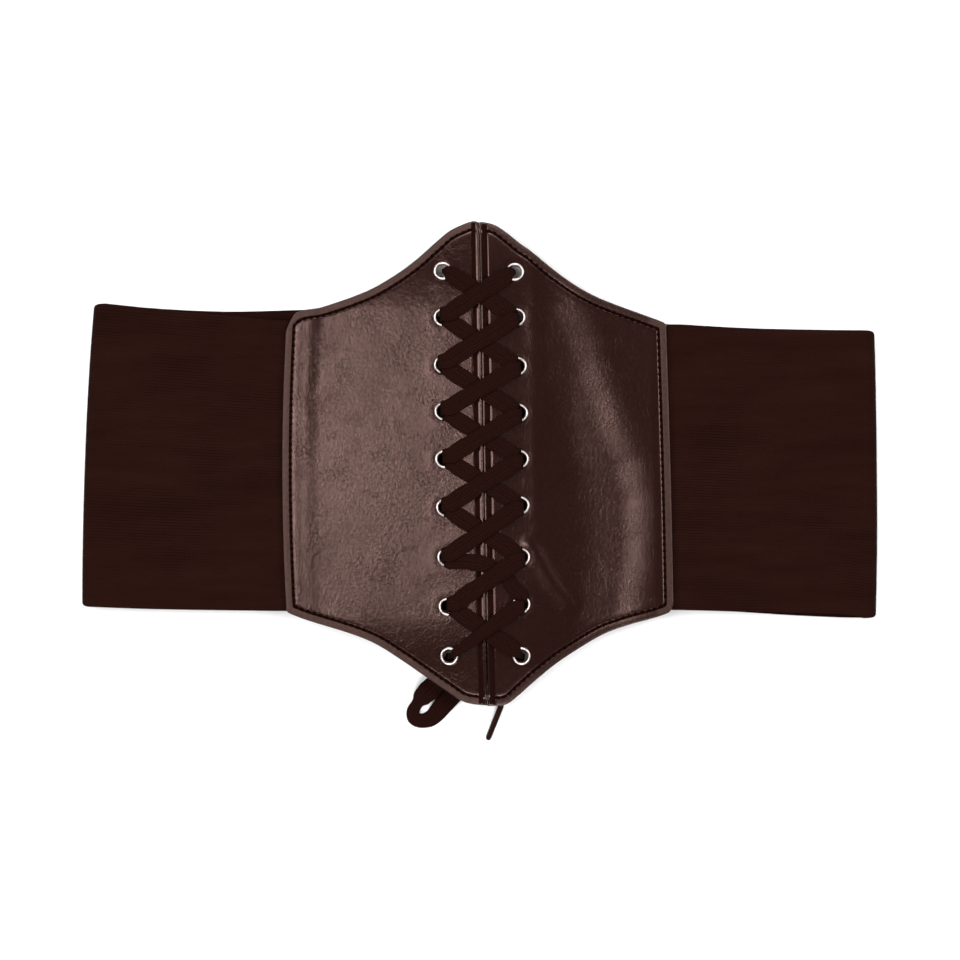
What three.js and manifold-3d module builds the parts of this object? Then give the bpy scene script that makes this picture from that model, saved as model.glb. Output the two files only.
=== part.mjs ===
// Corset belt: a leather front in two laced panels on a wide ribbed elastic, lying flat on its back.
// Millimetres, +Z up from the floor, +X to the right and +Y to the top of the laced edge.

import * as THREE from 'three';
import Module from 'manifold-3d';

const wasm = await Module();
wasm.setup();

// Elastic band, flattened between its two folds
const FOLD_TO_FOLD = 327.8;
const BAND_HEIGHT = 120;
const BAND_WALL = 1.5;
const LAYER_GAP = 6;
const BAND_TUCK = 13;
const LEFT_FOLD_LEAN = 5;
const RIGHT_FOLD_LEAN = 1.2;

// Leather panels
const PANEL_HEIGHT = 200;
const LEFT_SIDE_HEIGHT = 118.3;
const RIGHT_SIDE_HEIGHT = 116.1;
const LEFT_WIDTH = 80.8;
const RIGHT_WIDTH = 76.4;
const LEFT_SIDE_SHIFT = -2;
const RIGHT_SIDE_SHIFT = -0.35;
const LEFT_SIDE_BOW = 1.7;
const RIGHT_SIDE_BOW = 0.3;
const LEFT_SIDE_LEAN = 0.2;
const RIGHT_SIDE_LEAN = -3.1;
const LEATHER = 2;
const SEAM_GAP = 1;
const SEAM_OFFSET = 1.6;
const SEAM_LEAN = 3.45;
const CLEARANCE = 0.3;

// Relief of the leather
const BORDER = 3.5;
const WELT = 3.1;
const GROOVE_HALF = 0.9;
const GROOVE_DEPTH = 0.5;
const EDGE_FALL = 0.4;
const STEP_DOWN = 0.5;
const STEP_START = 1.5;
const STEP_END = 8;
const CENTRE_LIFT = 1.5;
const TIP_DROOP = 3.6;
const DROOP_START = 3;
const DROOP_CURVE = 1.7;
const FOLD_DEPTH = 0.8;
const FOLD_SPREAD = 5;

// Eyelets
const ROWS = 9;
const ROW_PITCH = 19.8;
const ROW_BOW = 1.8;
const LEFT_SETBACK = 14.9;
const RIGHT_SETBACK = 13.8;
const COLUMN_BOW = 0.7;
const HOLE_RADIUS = 2.7;
const EYELET_WALL = 0.25;
const FLANGE_WIDTH = 1.25;
const FLANGE_RISE = 0.7;
const LIP_WIDTH = 0.9;
const LIP_RISE = 0.45;
const EYELET_SIDES = 12;

// Lace and its tips
const LACE_WIDTH = 7;
const LACE_THICKNESS = 1;
const AGLET_LENGTH = 17;
const AGLET_RADIUS = 1.1;

// Heights and lengths worked out from the sizes above
const FRONT_TOP = 2 * BAND_WALL + LAYER_GAP;
const LEATHER_MID = FRONT_TOP + CLEARANCE + LEATHER / 2;
const HALF_HEIGHT = PANEL_HEIGHT / 2;
const HALF_LENGTH = FOLD_TO_FOLD / 2;
const BAND_EDGE = BAND_HEIGHT / 2 + DROOP_START;
const FLANGE_RADIUS = HOLE_RADIUS + FLANGE_WIDTH;
const SEAT = LEATHER / 2 + CLEARANCE;

const LEATHER_LOOK = { color: 0x4a3732, roughness: 0.45, metalness: 0 };
const ELASTIC_LOOK = { color: 0x28140f, roughness: 0.9, metalness: 0 };
const LACE_LOOK = { color: 0x26120e, roughness: 0.8, metalness: 0 };
const METAL_LOOK = { color: 0xd8d2cc, roughness: 0.25, metalness: 1 };
const TIP_LOOK = { color: 0x2e1c19, roughness: 0.35, metalness: 0 };

// Outline of each panel from its outer edge to the laced edge. Share is how far the edge has come
// from the outer edge's corner to the full height at the laced edge.
const LEFT = {
  sign: -1,
  width: LEFT_WIDTH,
  sideHeight: LEFT_SIDE_HEIGHT,
  sideShift: LEFT_SIDE_SHIFT,
  sideBow: LEFT_SIDE_BOW,
  sideLean: LEFT_SIDE_LEAN,
  setback: LEFT_SETBACK,
  top: [
    { across: 0, share: 0 },
    { across: 0.055, share: 0.117 },
    { across: 0.187, share: 0.172 },
    { across: 0.406, share: 0.317 },
    { across: 0.532, share: 0.443 },
    { across: 0.657, share: 0.606 },
    { across: 0.783, share: 0.81 },
    { across: 0.845, share: 0.904 },
    { across: 0.909, share: 0.963 },
    { across: 0.971, share: 1 },
    { across: 1, share: 0.986 },
  ],
  foot: [
    { across: 0, share: 0 },
    { across: 0.089, share: 0.075 },
    { across: 0.329, share: 0.235 },
    { across: 0.448, share: 0.34 },
    { across: 0.568, share: 0.5 },
    { across: 0.71, share: 0.711 },
    { across: 0.797, share: 0.84 },
    { across: 0.873, share: 0.946 },
    { across: 0.92, share: 0.977 },
    { across: 1, share: 0.995 },
  ],
};
const RIGHT = {
  sign: 1,
  width: RIGHT_WIDTH,
  sideHeight: RIGHT_SIDE_HEIGHT,
  sideShift: RIGHT_SIDE_SHIFT,
  sideBow: RIGHT_SIDE_BOW,
  sideLean: RIGHT_SIDE_LEAN,
  setback: RIGHT_SETBACK,
  top: [
    { across: 0, share: 0 },
    { across: 0.077, share: 0.054 },
    { across: 0.336, share: 0.229 },
    { across: 0.465, share: 0.348 },
    { across: 0.594, share: 0.513 },
    { across: 0.723, share: 0.707 },
    { across: 0.787, share: 0.79 },
    { across: 0.851, share: 0.884 },
    { across: 0.916, share: 0.962 },
    { across: 0.98, share: 0.991 },
    { across: 1, share: 0.991 },
  ],
  foot: [
    { across: 0, share: 0 },
    { across: 0.03, share: 0.075 },
    { across: 0.247, share: 0.197 },
    { across: 0.377, share: 0.286 },
    { across: 0.507, share: 0.425 },
    { across: 0.636, share: 0.584 },
    { across: 0.766, share: 0.781 },
    { across: 0.83, share: 0.887 },
    { across: 0.902, share: 0.985 },
    { across: 1, share: 1 },
  ],
};

// The diagonal fold below the right panel's middle: across from the outer edge, up from the centre
const FOLD_START = { across: 0.77, up: -0.315 };
const FOLD_END = { across: 0.51, up: -0.604 };

// How far each row of eyelets stands off its even place, as shares of the pitch
const ROW_WANDER = [
  { left: 0, right: -0.02 },
  { left: 0, right: 0 },
  { left: -0.015, right: -0.045 },
  { left: 0, right: -0.035 },
  { left: 0, right: 0 },
  { left: 0, right: 0.04 },
  { left: -0.02, right: -0.015 },
  { left: -0.015, right: 0.03 },
  { left: 0, right: 0 },
];

// Upper and lower edge of the elastic round its run, in shares of its height. Along is a share of
// half the belt's length, negative on the left.
const FRONT_LEFT_EDGES = [
  { along: -0.49, top: 0.49, foot: -0.507 },
  { along: -0.66, top: 0.511, foot: -0.504 },
  { along: -0.83, top: 0.531, foot: -0.5 },
];
const LEFT_FOLD_EDGES = { top: 0.55, foot: -0.493 };
const BACK_EDGES = [
  { along: -0.83, top: 0.534, foot: -0.5 },
  { along: -0.67, top: 0.524, foot: -0.504 },
  { along: -0.4, top: 0.52, foot: -0.506 },
  { along: 0, top: 0.5, foot: -0.512 },
  { along: 0.49, top: 0.472, foot: -0.517 },
  { along: 0.79, top: 0.464, foot: -0.5275 },
];
const RIGHT_FOLD_EDGES = { top: 0.46, foot: -0.525 };
const FRONT_RIGHT_EDGES = [
  { along: 0.83, top: 0.459, foot: -0.518 },
  { along: 0.66, top: 0.466, foot: -0.511 },
  { along: 0.495, top: 0.479, foot: -0.503 },
];
const INNER_COLUMNS = 5;
const INNER_ROWS = 12;
const FIRST_ROW = 14;
const FOLD_STEPS = 8;
const BAND_STRIPS = 4;

// The lace at an eyelet. Inward is a share of the flange's radius from the hole's axis towards the
// laced edge, aside a share of the hole's radius, width and thick shares of the lace's own.
const IN_HOLE = { inward: 0.09, aside: 0.42, width: 0.27, thick: 1.5 };
const TURN = { inward: 0.31, aside: 0.46, width: 0.32, thick: 1.5 };
const CREST = { inward: 0.76, aside: 0.7, width: 0.52, thick: 1.4 };
const PAST = { inward: 1.32, width: 0.76, thick: 1.15 };
const LAID = { inward: 2.03, width: 0.94, thick: 1 };
const BACK_TURN = { inward: 0.26, aside: 0.42, width: 0.28, thick: 1.2 };
const BACK_CREST = { inward: 0.76, aside: 0.46, width: 0.42, thick: 1 };
const BACK_LAID = { inward: 2.03, aside: 0.46, width: 0.75, thick: 1 };
const LONE_WIDTH = 1.4;
const CROSS_SHARE = 0.78;
const LACE_SIDES = 6;
const TAIL_SIDES = 8;

// Heights of the lace's middle over the leather's middle
const UNDER_RISE = SEAT + LACE_THICKNESS / 2;
const OVER_RISE = UNDER_RISE + LACE_THICKNESS + CLEARANCE;
const CREST_RISE = SEAT + FLANGE_RISE + CLEARANCE + CREST.thick * LACE_THICKNESS / 2;
const UPPER_BAR = SEAT + LIP_RISE + CLEARANCE + LACE_THICKNESS / 2;
const LOWER_BAR = UPPER_BAR + LACE_THICKNESS + CLEARANCE;
const END_DROP = 2;

// The widths of the eight crossings, as shares of the lace's width, from the top
const CROSSINGS = [
  { over: 1, under: 1 },
  { over: 1, under: 0.95 },
  { over: 0.95, under: 1 },
  { over: 0.95, under: 0.95 },
  { over: 1, under: 0.95 },
  { over: 0.95, under: 1 },
  { over: 1, under: 0.55 },
  { over: 0.75, under: 1 },
];

// Routes of the two free ends, chosen by hand
const LEFT_TAIL = [
  { x: -12.4, y: -79.0, z: 7.2, width: 2.8, thick: 1.8 },
  { x: -12.4, y: -79.3, z: 6.1, width: 3.2, thick: 1.6 },
  { x: -12.7, y: -82.0, z: 4.7, width: 5.0, thick: 1.2 },
  { x: -13.3, y: -85.8, z: 3.9, width: 6.6, thick: 1.0 },
  { x: -14.6, y: -88.8, z: 3.4, width: 7.0, thick: 1.0 },
  { x: -17.2, y: -91.4, z: 2.9, width: 7.0, thick: 1.0 },
  { x: -20.6, y: -93.4, z: 2.4, width: 7.0, thick: 1.0 },
  { x: -24.0, y: -95.8, z: 2.0, width: 6.8, thick: 1.0 },
  { x: -26.6, y: -99.0, z: 1.8, width: 6.0, thick: 1.1 },
  { x: -27.5, y: -102.6, z: 1.6, width: 5.6, thick: 1.2 },
  { x: -26.2, y: -105.6, z: 1.3, width: 6.0, thick: 1.2 },
  { x: -23.2, y: -106.7, z: 1.0, width: 6.8, thick: 1.0 },
  { x: -19.9, y: -104.9, z: 0.8, width: 7.4, thick: 1.0 },
  { x: -16.6, y: -101.6, z: 0.7, width: 7.6, thick: 1.0 },
  { x: -13.2, y: -97.9, z: 0.7, width: 7.6, thick: 1.0 },
  { x: -9.8, y: -94.2, z: 0.7, width: 7.2, thick: 1.0 },
  { x: -6.6, y: -90.7, z: 0.8, width: 5.4, thick: 1.2 },
  { x: -4.0, y: -87.8, z: 1.1, width: 3.2, thick: 1.7 },
  { x: -2.6, y: -86.2, z: 1.2, width: 2.0, thick: 1.9 },
];
const RIGHT_TAIL = [
  { x: 17.3, y: -78.9, z: 7.2, width: 2.8, thick: 1.8 },
  { x: 17.2, y: -79.2, z: 6.1, width: 3.2, thick: 1.6 },
  { x: 16.5, y: -81.6, z: 4.8, width: 4.4, thick: 1.2 },
  { x: 15.3, y: -84.8, z: 3.8, width: 5.6, thick: 1.0 },
  { x: 14.0, y: -87.9, z: 3.0, width: 6.0, thick: 1.0 },
  { x: 12.7, y: -91.0, z: 2.3, width: 5.2, thick: 1.1 },
  { x: 11.4, y: -93.9, z: 1.7, width: 3.6, thick: 1.4 },
  { x: 10.2, y: -96.6, z: 1.3, width: 2.0, thick: 1.9 },
];

// Share of the way between two limits, eased at both ends
function ease(value, low, high) {
  return THREE.MathUtils.smoothstep(value, low, high);
}

// Value of a table of { across, share } rows at a place across the panel
function readOutline(rows, across) {
  const next = Math.max(1, rows.findIndex((row) => row.across >= across));
  const from = rows[next - 1];
  const to = rows[next];
  const step = (across - from.across) / (to.across - from.across);
  return THREE.MathUtils.lerp(from.share, to.share, step);
}

// The middle of the gap between the panels, which leans a little over the belt's height
function seamX(y) {
  return SEAM_OFFSET - SEAM_LEAN * y / PANEL_HEIGHT;
}

function lacedEdgeX(panel, y) {
  return seamX(y) + panel.sign * SEAM_GAP / 2;
}

function outerEdgeX(panel, y) {
  const share = 2 * y / panel.sideHeight;
  const bow = panel.sideBow * Math.max(0, 1 - share * share);
  const middle = SEAM_OFFSET + panel.sign * (SEAM_GAP / 2 + panel.width);
  return middle + panel.sign * bow + panel.sideLean * y / panel.sideHeight;
}

function topEdgeY(panel, across) {
  const corner = panel.sideShift + panel.sideHeight / 2;
  return THREE.MathUtils.lerp(corner, HALF_HEIGHT, readOutline(panel.top, across));
}

function footEdgeY(panel, across) {
  const corner = panel.sideShift - panel.sideHeight / 2;
  return THREE.MathUtils.lerp(corner, -HALF_HEIGHT, readOutline(panel.foot, across));
}

// Depth of the diagonal fold at a point of the right panel
function foldDepth(across, y) {
  const start = new THREE.Vector2(FOLD_START.across * RIGHT_WIDTH, FOLD_START.up * HALF_HEIGHT);
  const end = new THREE.Vector2(FOLD_END.across * RIGHT_WIDTH, FOLD_END.up * HALF_HEIGHT);
  const run = end.clone().sub(start);
  const point = new THREE.Vector2(across * RIGHT_WIDTH, y).sub(start);
  const along = THREE.MathUtils.clamp(point.dot(run) / run.lengthSq(), 0, 1);
  const away = point.sub(run.multiplyScalar(along)).length() / FOLD_SPREAD;
  return FOLD_DEPTH * ease(along, 0, 0.4) * Math.exp(-away * away);
}

// Height of the leather's middle: flat over the elastic, a step down past the elastic's end,
// a rise over the lace behind the laced edge, and points that droop past the band
function leatherHeight(x, y) {
  const panel = x < seamX(y) ? LEFT : RIGHT;
  const inset = Math.abs(x - outerEdgeX(panel, y));
  const across = inset / panel.width;
  const step = STEP_DOWN * ease(inset, BAND_TUCK + STEP_START, BAND_TUCK + STEP_END);
  const lift = CENTRE_LIFT * ease(across, 0.3, 1);
  const past = Math.max(0, Math.abs(y) - BAND_EDGE) / (HALF_HEIGHT - BAND_EDGE);
  const fold = panel === RIGHT ? foldDepth(across, y) : 0;
  return LEATHER_MID - step + lift - TIP_DROOP * past ** DROOP_CURVE - fold;
}

function leatherNormal(x, y) {
  const reach = FLANGE_RADIUS;
  const slopeX = (leatherHeight(x + reach, y) - leatherHeight(x - reach, y)) / (2 * reach);
  const slopeY = (leatherHeight(x, y + reach) - leatherHeight(x, y - reach)) / (2 * reach);
  return new THREE.Vector3(-slopeX, -slopeY, 1).normalize();
}

// Grid lines over a length: close to each stitched edge, then even from a chosen first line
function gridLines(nearEdge, farEdge, firstLine, inner) {
  const near = [0, nearEdge - GROOVE_HALF, nearEdge, nearEdge + GROOVE_HALF];
  const far = [farEdge + GROOVE_HALF, farEdge, farEdge - GROOVE_HALF, 0];
  const lines = near.map((inset) => () => inset);
  for (let i = 0; i < inner; i += 1) {
    lines.push((length) => THREE.MathUtils.lerp(firstLine, length - far[0], i / inner));
  }
  far.forEach((inset) => lines.push((length) => length - inset));
  return lines;
}

// A closed geometry as a solid, with its doubled points merged and empty triangles left out
function toSolid(geometry) {
  const merged = new Map();
  const points = [];
  const place = geometry.attributes.position;
  const indices = Array.from(geometry.index.array, (i) => {
    const point = [place.getX(i), place.getY(i), place.getZ(i)];
    const key = point.map((value) => value.toFixed(4)).join();
    if (!merged.has(key)) {
      merged.set(key, points.length / 3);
      points.push(...point);
    }
    return merged.get(key);
  });
  const triangles = [];
  for (let i = 0; i < indices.length; i += 3) {
    const [a, b, c] = indices.slice(i, i + 3);
    if (a !== b && b !== c && c !== a) triangles.push(a, b, c);
  }
  return new wasm.Manifold(new wasm.Mesh({
    numProp: 3,
    vertProperties: new Float32Array(points),
    triVerts: new Uint32Array(triangles),
  }));
}

function toGeometry(solid) {
  const mesh = solid.getMesh();
  const geometry = new THREE.BufferGeometry();
  geometry.setAttribute('position', new THREE.BufferAttribute(mesh.vertProperties, 3));
  geometry.setIndex(new THREE.BufferAttribute(mesh.triVerts, 1));
  return geometry;
}

function addMesh(name, geometry, look) {
  geometry.computeVertexNormals();
  const mesh = new THREE.Mesh(geometry, new THREE.MeshStandardMaterial(look));
  mesh.name = name;
  belt.add(mesh);
  return mesh;
}

// Where an eyelet sits: row 0 is the top one
function eyeletPlace(panel, row) {
  const half = (ROWS - 1) / 2;
  const share = (half - row) / half;
  const bow = 1 - share * share;
  const wander = panel === LEFT ? ROW_WANDER[row].left : ROW_WANDER[row].right;
  const y = (half - row + wander) * ROW_PITCH + ROW_BOW * bow;
  const x = lacedEdgeX(panel, y) + panel.sign * (panel.setback + COLUMN_BOW * bow);
  return new THREE.Vector3(x, y, leatherHeight(x, y));
}

function seatOnLeather(object, place) {
  const up = new THREE.Vector3(0, 0, 1);
  object.position.copy(place);
  object.quaternion.setFromUnitVectors(up, leatherNormal(place.x, place.y));
}

function panelGeometry(panel) {
  const columns = gridLines(BORDER, WELT, BAND_TUCK + STEP_START, INNER_COLUMNS);
  const rows = gridLines(BORDER, BORDER, FIRST_ROW, INNER_ROWS);
  const lastColumn = columns.length - 1;
  const lastRow = rows.length - 1;
  const box = new THREE.BoxGeometry(1, 1, 1, lastColumn, lastRow, 1);
  const place = box.attributes.position;
  for (let i = 0; i < place.count; i += 1) {
    const column = Math.round((place.getX(i) + 0.5) * lastColumn);
    const row = Math.round((place.getY(i) + 0.5) * lastRow);
    const across = columns[column](panel.width) / panel.width;
    const foot = footEdgeY(panel, across);
    const y = foot + rows[row](topEdgeY(panel, across) - foot);
    const x = THREE.MathUtils.lerp(outerEdgeX(panel, y), lacedEdgeX(panel, y), across);
    const rim = column % lastColumn === 0 || row % lastRow === 0;
    const groove = [2, lastColumn - 2].includes(column) || [2, lastRow - 2].includes(row);
    let z = leatherHeight(x, y) + Math.sign(place.getZ(i)) * LEATHER / 2;
    if (place.getZ(i) > 0 && rim) z -= EDGE_FALL;
    if (place.getZ(i) > 0 && groove && !rim) z -= GROOVE_DEPTH;
    place.setXYZ(i, x, y, z);
  }
  if (panel.sign > 0) flipFaces(box);
  return box;
}

// A panel drawn from right to left would be inside out, so its triangles are turned round
function flipFaces(geometry) {
  const index = geometry.index.array;
  for (let i = 0; i < index.length; i += 3) {
    [index[i], index[i + 1]] = [index[i + 1], index[i]];
  }
}

function cutEyeletHoles(panel, geometry) {
  const radius = HOLE_RADIUS + EYELET_WALL + CLEARANCE;
  let solid = toSolid(geometry);
  for (let row = 0; row < ROWS; row += 1) {
    const drill = new THREE.CylinderGeometry(radius, radius, 4 * LEATHER, EYELET_SIDES);
    drill.rotateX(Math.PI / 2);
    const holder = new THREE.Object3D();
    seatOnLeather(holder, eyeletPlace(panel, row));
    holder.updateMatrix();
    drill.applyMatrix4(holder.matrix);
    solid = solid.subtract(toSolid(drill));
  }
  return toGeometry(solid);
}

function eyeletGeometry() {
  const mouth = SEAT + LIP_RISE;
  const crown = SEAT + FLANGE_RISE;
  const profile = [
    new THREE.Vector2(HOLE_RADIUS, -mouth),
    new THREE.Vector2(HOLE_RADIUS, mouth),
    new THREE.Vector2(HOLE_RADIUS + FLANGE_WIDTH / 2, crown),
    new THREE.Vector2(FLANGE_RADIUS, SEAT),
    new THREE.Vector2(HOLE_RADIUS + EYELET_WALL, SEAT),
    new THREE.Vector2(HOLE_RADIUS + EYELET_WALL, -SEAT),
    new THREE.Vector2(HOLE_RADIUS + LIP_WIDTH, -SEAT),
    new THREE.Vector2(HOLE_RADIUS, -mouth),
  ];
  const ring = new THREE.LatheGeometry(profile.reverse(), EYELET_SIDES);
  ring.rotateX(Math.PI / 2);
  return ring;
}

// The run of the elastic as cross-sections: where its middle lies, which way it faces,
// how much it follows the slanted fold, and its upper and lower edges
function bandSections() {
  const radius = (LAYER_GAP + BAND_WALL) / 2;
  const backZ = BAND_WALL / 2;
  const frontZ = backZ + 2 * radius;
  const foldX = HALF_LENGTH - radius - BAND_WALL / 2;
  const leftEnd = SEAM_OFFSET - SEAM_GAP / 2 - LEFT_WIDTH + BAND_TUCK;
  const rightEnd = SEAM_OFFSET + SEAM_GAP / 2 + RIGHT_WIDTH - BAND_TUCK;
  const flat = (row, z, facing) => ({
    x: row.along * HALF_LENGTH,
    z,
    facing,
    follow: ease(Math.abs(row.along), 0.5, 1),
    top: row.top * BAND_HEIGHT,
    foot: row.foot * BAND_HEIGHT,
  });
  const tucked = (x, edges) => ({ ...flat(edges, frontZ, Math.PI / 2), x, follow: 0 });
  const fold = (sign, edges) => {
    const sections = [];
    for (let i = 0; i <= FOLD_STEPS; i += 1) {
      const turn = sign < 0 ? i / FOLD_STEPS : 1 - i / FOLD_STEPS;
      const facing = Math.PI / 2 - sign * Math.PI * turn;
      sections.push({
        x: sign * foldX + radius * Math.cos(facing),
        z: backZ + radius + radius * Math.sin(facing),
        facing,
        follow: 1,
        top: edges.top * BAND_HEIGHT,
        foot: edges.foot * BAND_HEIGHT,
      });
    }
    return sections;
  };
  return [
    tucked(leftEnd, FRONT_LEFT_EDGES[0]),
    ...FRONT_LEFT_EDGES.map((row) => flat(row, frontZ, Math.PI / 2)),
    ...fold(-1, LEFT_FOLD_EDGES),
    ...BACK_EDGES.map((row) => flat(row, backZ, -Math.PI / 2)),
    ...fold(1, RIGHT_FOLD_EDGES),
    ...FRONT_RIGHT_EDGES.map((row) => flat(row, frontZ, Math.PI / 2)),
    tucked(rightEnd, FRONT_RIGHT_EDGES.at(-1)),
  ];
}

function bandGeometry() {
  const sections = bandSections();
  const last = sections.length - 1;
  const box = new THREE.BoxGeometry(1, 1, 1, last, BAND_STRIPS, 1);
  const place = box.attributes.position;
  for (let i = 0; i < place.count; i += 1) {
    const section = sections[Math.round((place.getX(i) + 0.5) * last)];
    const up = place.getY(i) + 0.5;
    const lean = section.x < 0
      ? LEFT_FOLD_LEAN * up * up
      : -RIGHT_FOLD_LEAN * ((up - 0.38) / 0.62) ** 2;
    const out = Math.sign(place.getZ(i)) * BAND_WALL / 2;
    const x = section.x + lean * section.follow + out * Math.cos(section.facing);
    const z = section.z + out * Math.sin(section.facing);
    place.setXYZ(i, x, THREE.MathUtils.lerp(section.foot, section.top, up), z);
  }
  flipFaces(box);
  return box;
}

// A flat lace swept through cross-sections. Its width keeps to the direction given as side.
function laceGeometry(sections, sides) {
  const last = sections.length - 1;
  const tube = new THREE.CylinderGeometry(1, 1, 1, sides, last, false, Math.PI / sides);
  const place = tube.attributes.position;
  for (let i = 0; i < place.count; i += 1) {
    const k = Math.round((place.getY(i) + 0.5) * last);
    const section = sections[k];
    const before = sections[Math.max(0, k - 1)].centre;
    const after = sections[Math.min(last, k + 1)].centre;
    const along = after.clone().sub(before).normalize();
    const side = section.side.clone().addScaledVector(along, -section.side.dot(along)).normalize();
    const face = side.clone().cross(along);
    const point = section.centre.clone();
    point.addScaledVector(side, place.getX(i) * section.width / 2);
    point.addScaledVector(face, place.getZ(i) * section.thick / 2);
    place.setXYZ(i, point.x, point.y, point.z);
  }
  return tube;
}

function laceSection(x, y, rise, shape, scale = 1) {
  return {
    centre: new THREE.Vector3(x, y, leatherHeight(x, y) + rise),
    side: new THREE.Vector3(0, 1, 0),
    width: shape.width * LACE_WIDTH * scale,
    thick: shape.thick * LACE_THICKNESS,
  };
}

// The lace from inside an eyelet, up over its flange and onto the leather. Half is 1 where it
// passes through the upper half of the hole, -1 through the lower half and 0 where it is alone.
function frontTurn(eye, inwardSign, half) {
  const scale = half === 0 ? LONE_WIDTH : 1;
  const at = (shape, rise) => laceSection(
    eye.x + inwardSign * shape.inward * FLANGE_RADIUS,
    eye.y + half * shape.aside * HOLE_RADIUS,
    rise,
    shape,
    scale,
  );
  return [
    at(IN_HOLE, LEATHER / 2),
    at(TURN, 0.84 * CREST_RISE),
    at(CREST, CREST_RISE),
  ];
}

// One strand across the front, from one eyelet down to the next row's on the other side
function frontPass(from, to, halves, over, widthShare) {
  const sign = Math.sign(to.x - from.x);
  const start = frontTurn(from, sign, halves.start);
  const end = frontTurn(to, -sign, halves.end);
  const first = start.at(-1).centre;
  const last = end.at(-1).centre;
  const onLine = (x, rise, shape, scale) => {
    const share = (x - first.x) / (last.x - first.x);
    return laceSection(x, THREE.MathUtils.lerp(first.y, last.y, share), rise, shape, scale);
  };
  const laidRise = over ? OVER_RISE - 0.4 * LACE_THICKNESS : UNDER_RISE;
  const pastRise = THREE.MathUtils.lerp(CREST_RISE, laidRise, 0.75);
  const crossRise = over ? OVER_RISE : UNDER_RISE;
  const mid = (from.x + to.x) / 2;
  const nearCross = (eye) => THREE.MathUtils.lerp(eye.x, mid, CROSS_SHARE);
  return [
    ...start,
    onLine(from.x + sign * PAST.inward * FLANGE_RADIUS, pastRise, PAST, widthShare),
    onLine(from.x + sign * LAID.inward * FLANGE_RADIUS, laidRise, LAID, widthShare),
    onLine(nearCross(from), crossRise, { width: 1, thick: 1 }, widthShare),
    onLine(nearCross(to), crossRise, { width: 1, thick: 1 }, widthShare),
    onLine(to.x - sign * LAID.inward * FLANGE_RADIUS, laidRise, LAID, widthShare),
    onLine(to.x - sign * PAST.inward * FLANGE_RADIUS, pastRise, PAST, widthShare),
    ...end.reverse(),
  ];
}

// The lace from an eyelet's back mouth down under its lip and onto the bar behind the leather
function backTurn(eye, inwardSign, half, drop) {
  const scale = half === 0 ? LONE_WIDTH : 1;
  const at = (shape, rise) => laceSection(
    eye.x + inwardSign * shape.inward * FLANGE_RADIUS,
    eye.y + half * shape.aside * HOLE_RADIUS,
    -rise,
    shape,
    scale,
  );
  const sections = [at(IN_HOLE, LEATHER / 2)];
  if (drop > UPPER_BAR) sections.push(at(IN_HOLE, drop - 1.6 * LACE_THICKNESS));
  sections.push(at(BACK_TURN, drop - 0.3 * LACE_THICKNESS));
  sections.push(at(BACK_CREST, drop));
  sections.push(at(BACK_LAID, drop));
  return sections;
}

function backPass(from, to, halves, drop) {
  const sign = Math.sign(to.x - from.x);
  const end = backTurn(to, -sign, halves.end, drop);
  return [...backTurn(from, sign, halves.start, drop), ...end.reverse()];
}

// One half of the lace: it leaves a top eyelet, crosses to the other side on the front and comes
// back behind the leather in each row, and ends behind the bottom row
function laceHalf(startPanel, over) {
  const otherPanel = startPanel === LEFT ? RIGHT : LEFT;
  const drop = over ? UPPER_BAR : LOWER_BAR;
  const sections = [];
  for (let row = 0; row < ROWS - 1; row += 1) {
    const from = eyeletPlace(startPanel, row);
    const to = eyeletPlace(otherPanel, row + 1);
    const bottom = row + 1 === ROWS - 1;
    const halves = { start: row === 0 ? 0 : -1, end: bottom ? 0 : 1 };
    const widthShare = over ? CROSSINGS[row].over : CROSSINGS[row].under;
    sections.push(...frontPass(from, to, halves, over, widthShare));
    if (!bottom) {
      const back = eyeletPlace(startPanel, row + 1);
      sections.push(...backPass(to, back, { start: 1, end: -1 }, drop));
    } else {
      sections.push(laceSection(to.x, to.y, -LEATHER / 2, IN_HOLE, LONE_WIDTH));
      sections.push(laceSection(to.x, to.y, -END_DROP, IN_HOLE, LONE_WIDTH));
    }
  }
  return sections;
}

function laceSections() {
  const over = laceHalf(RIGHT, true);
  const under = laceHalf(LEFT, false);
  const lone = { start: 0, end: 0 };
  const bar = backPass(eyeletPlace(RIGHT, 0), eyeletPlace(LEFT, 0), lone, UPPER_BAR);
  return [...over.reverse(), ...bar, ...under];
}

// A free end lies flat, so its width is level and square to its route
function tailSections(route) {
  return route.map((point, i) => {
    const before = route[Math.max(0, i - 1)];
    const after = route[Math.min(route.length - 1, i + 1)];
    return {
      centre: new THREE.Vector3(point.x, point.y, point.z),
      side: new THREE.Vector3(before.y - after.y, after.x - before.x, 0).normalize(),
      width: point.width,
      thick: point.thick,
    };
  });
}

// The hard tip on a free end carries on in the direction of the route's last stretch
function addAglet(name, route) {
  const last = route.at(-1);
  const before = route.at(-2);
  const along = new THREE.Vector3(last.x - before.x, last.y - before.y, 0).normalize();
  const tip = AGLET_RADIUS * 0.5;
  const profile = [
    new THREE.Vector2(0, 0),
    new THREE.Vector2(AGLET_RADIUS, 0),
    new THREE.Vector2(AGLET_RADIUS, AGLET_LENGTH - tip),
    new THREE.Vector2(AGLET_RADIUS * 0.6, AGLET_LENGTH),
    new THREE.Vector2(0, AGLET_LENGTH),
  ];
  const mesh = addMesh(name, new THREE.LatheGeometry(profile, 10), TIP_LOOK);
  mesh.quaternion.setFromUnitVectors(new THREE.Vector3(0, 1, 0), along);
  mesh.position.set(last.x, last.y, AGLET_RADIUS);
  mesh.position.addScaledVector(along, CLEARANCE);
}

const belt = new THREE.Group();
belt.name = 'corset_belt';

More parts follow.
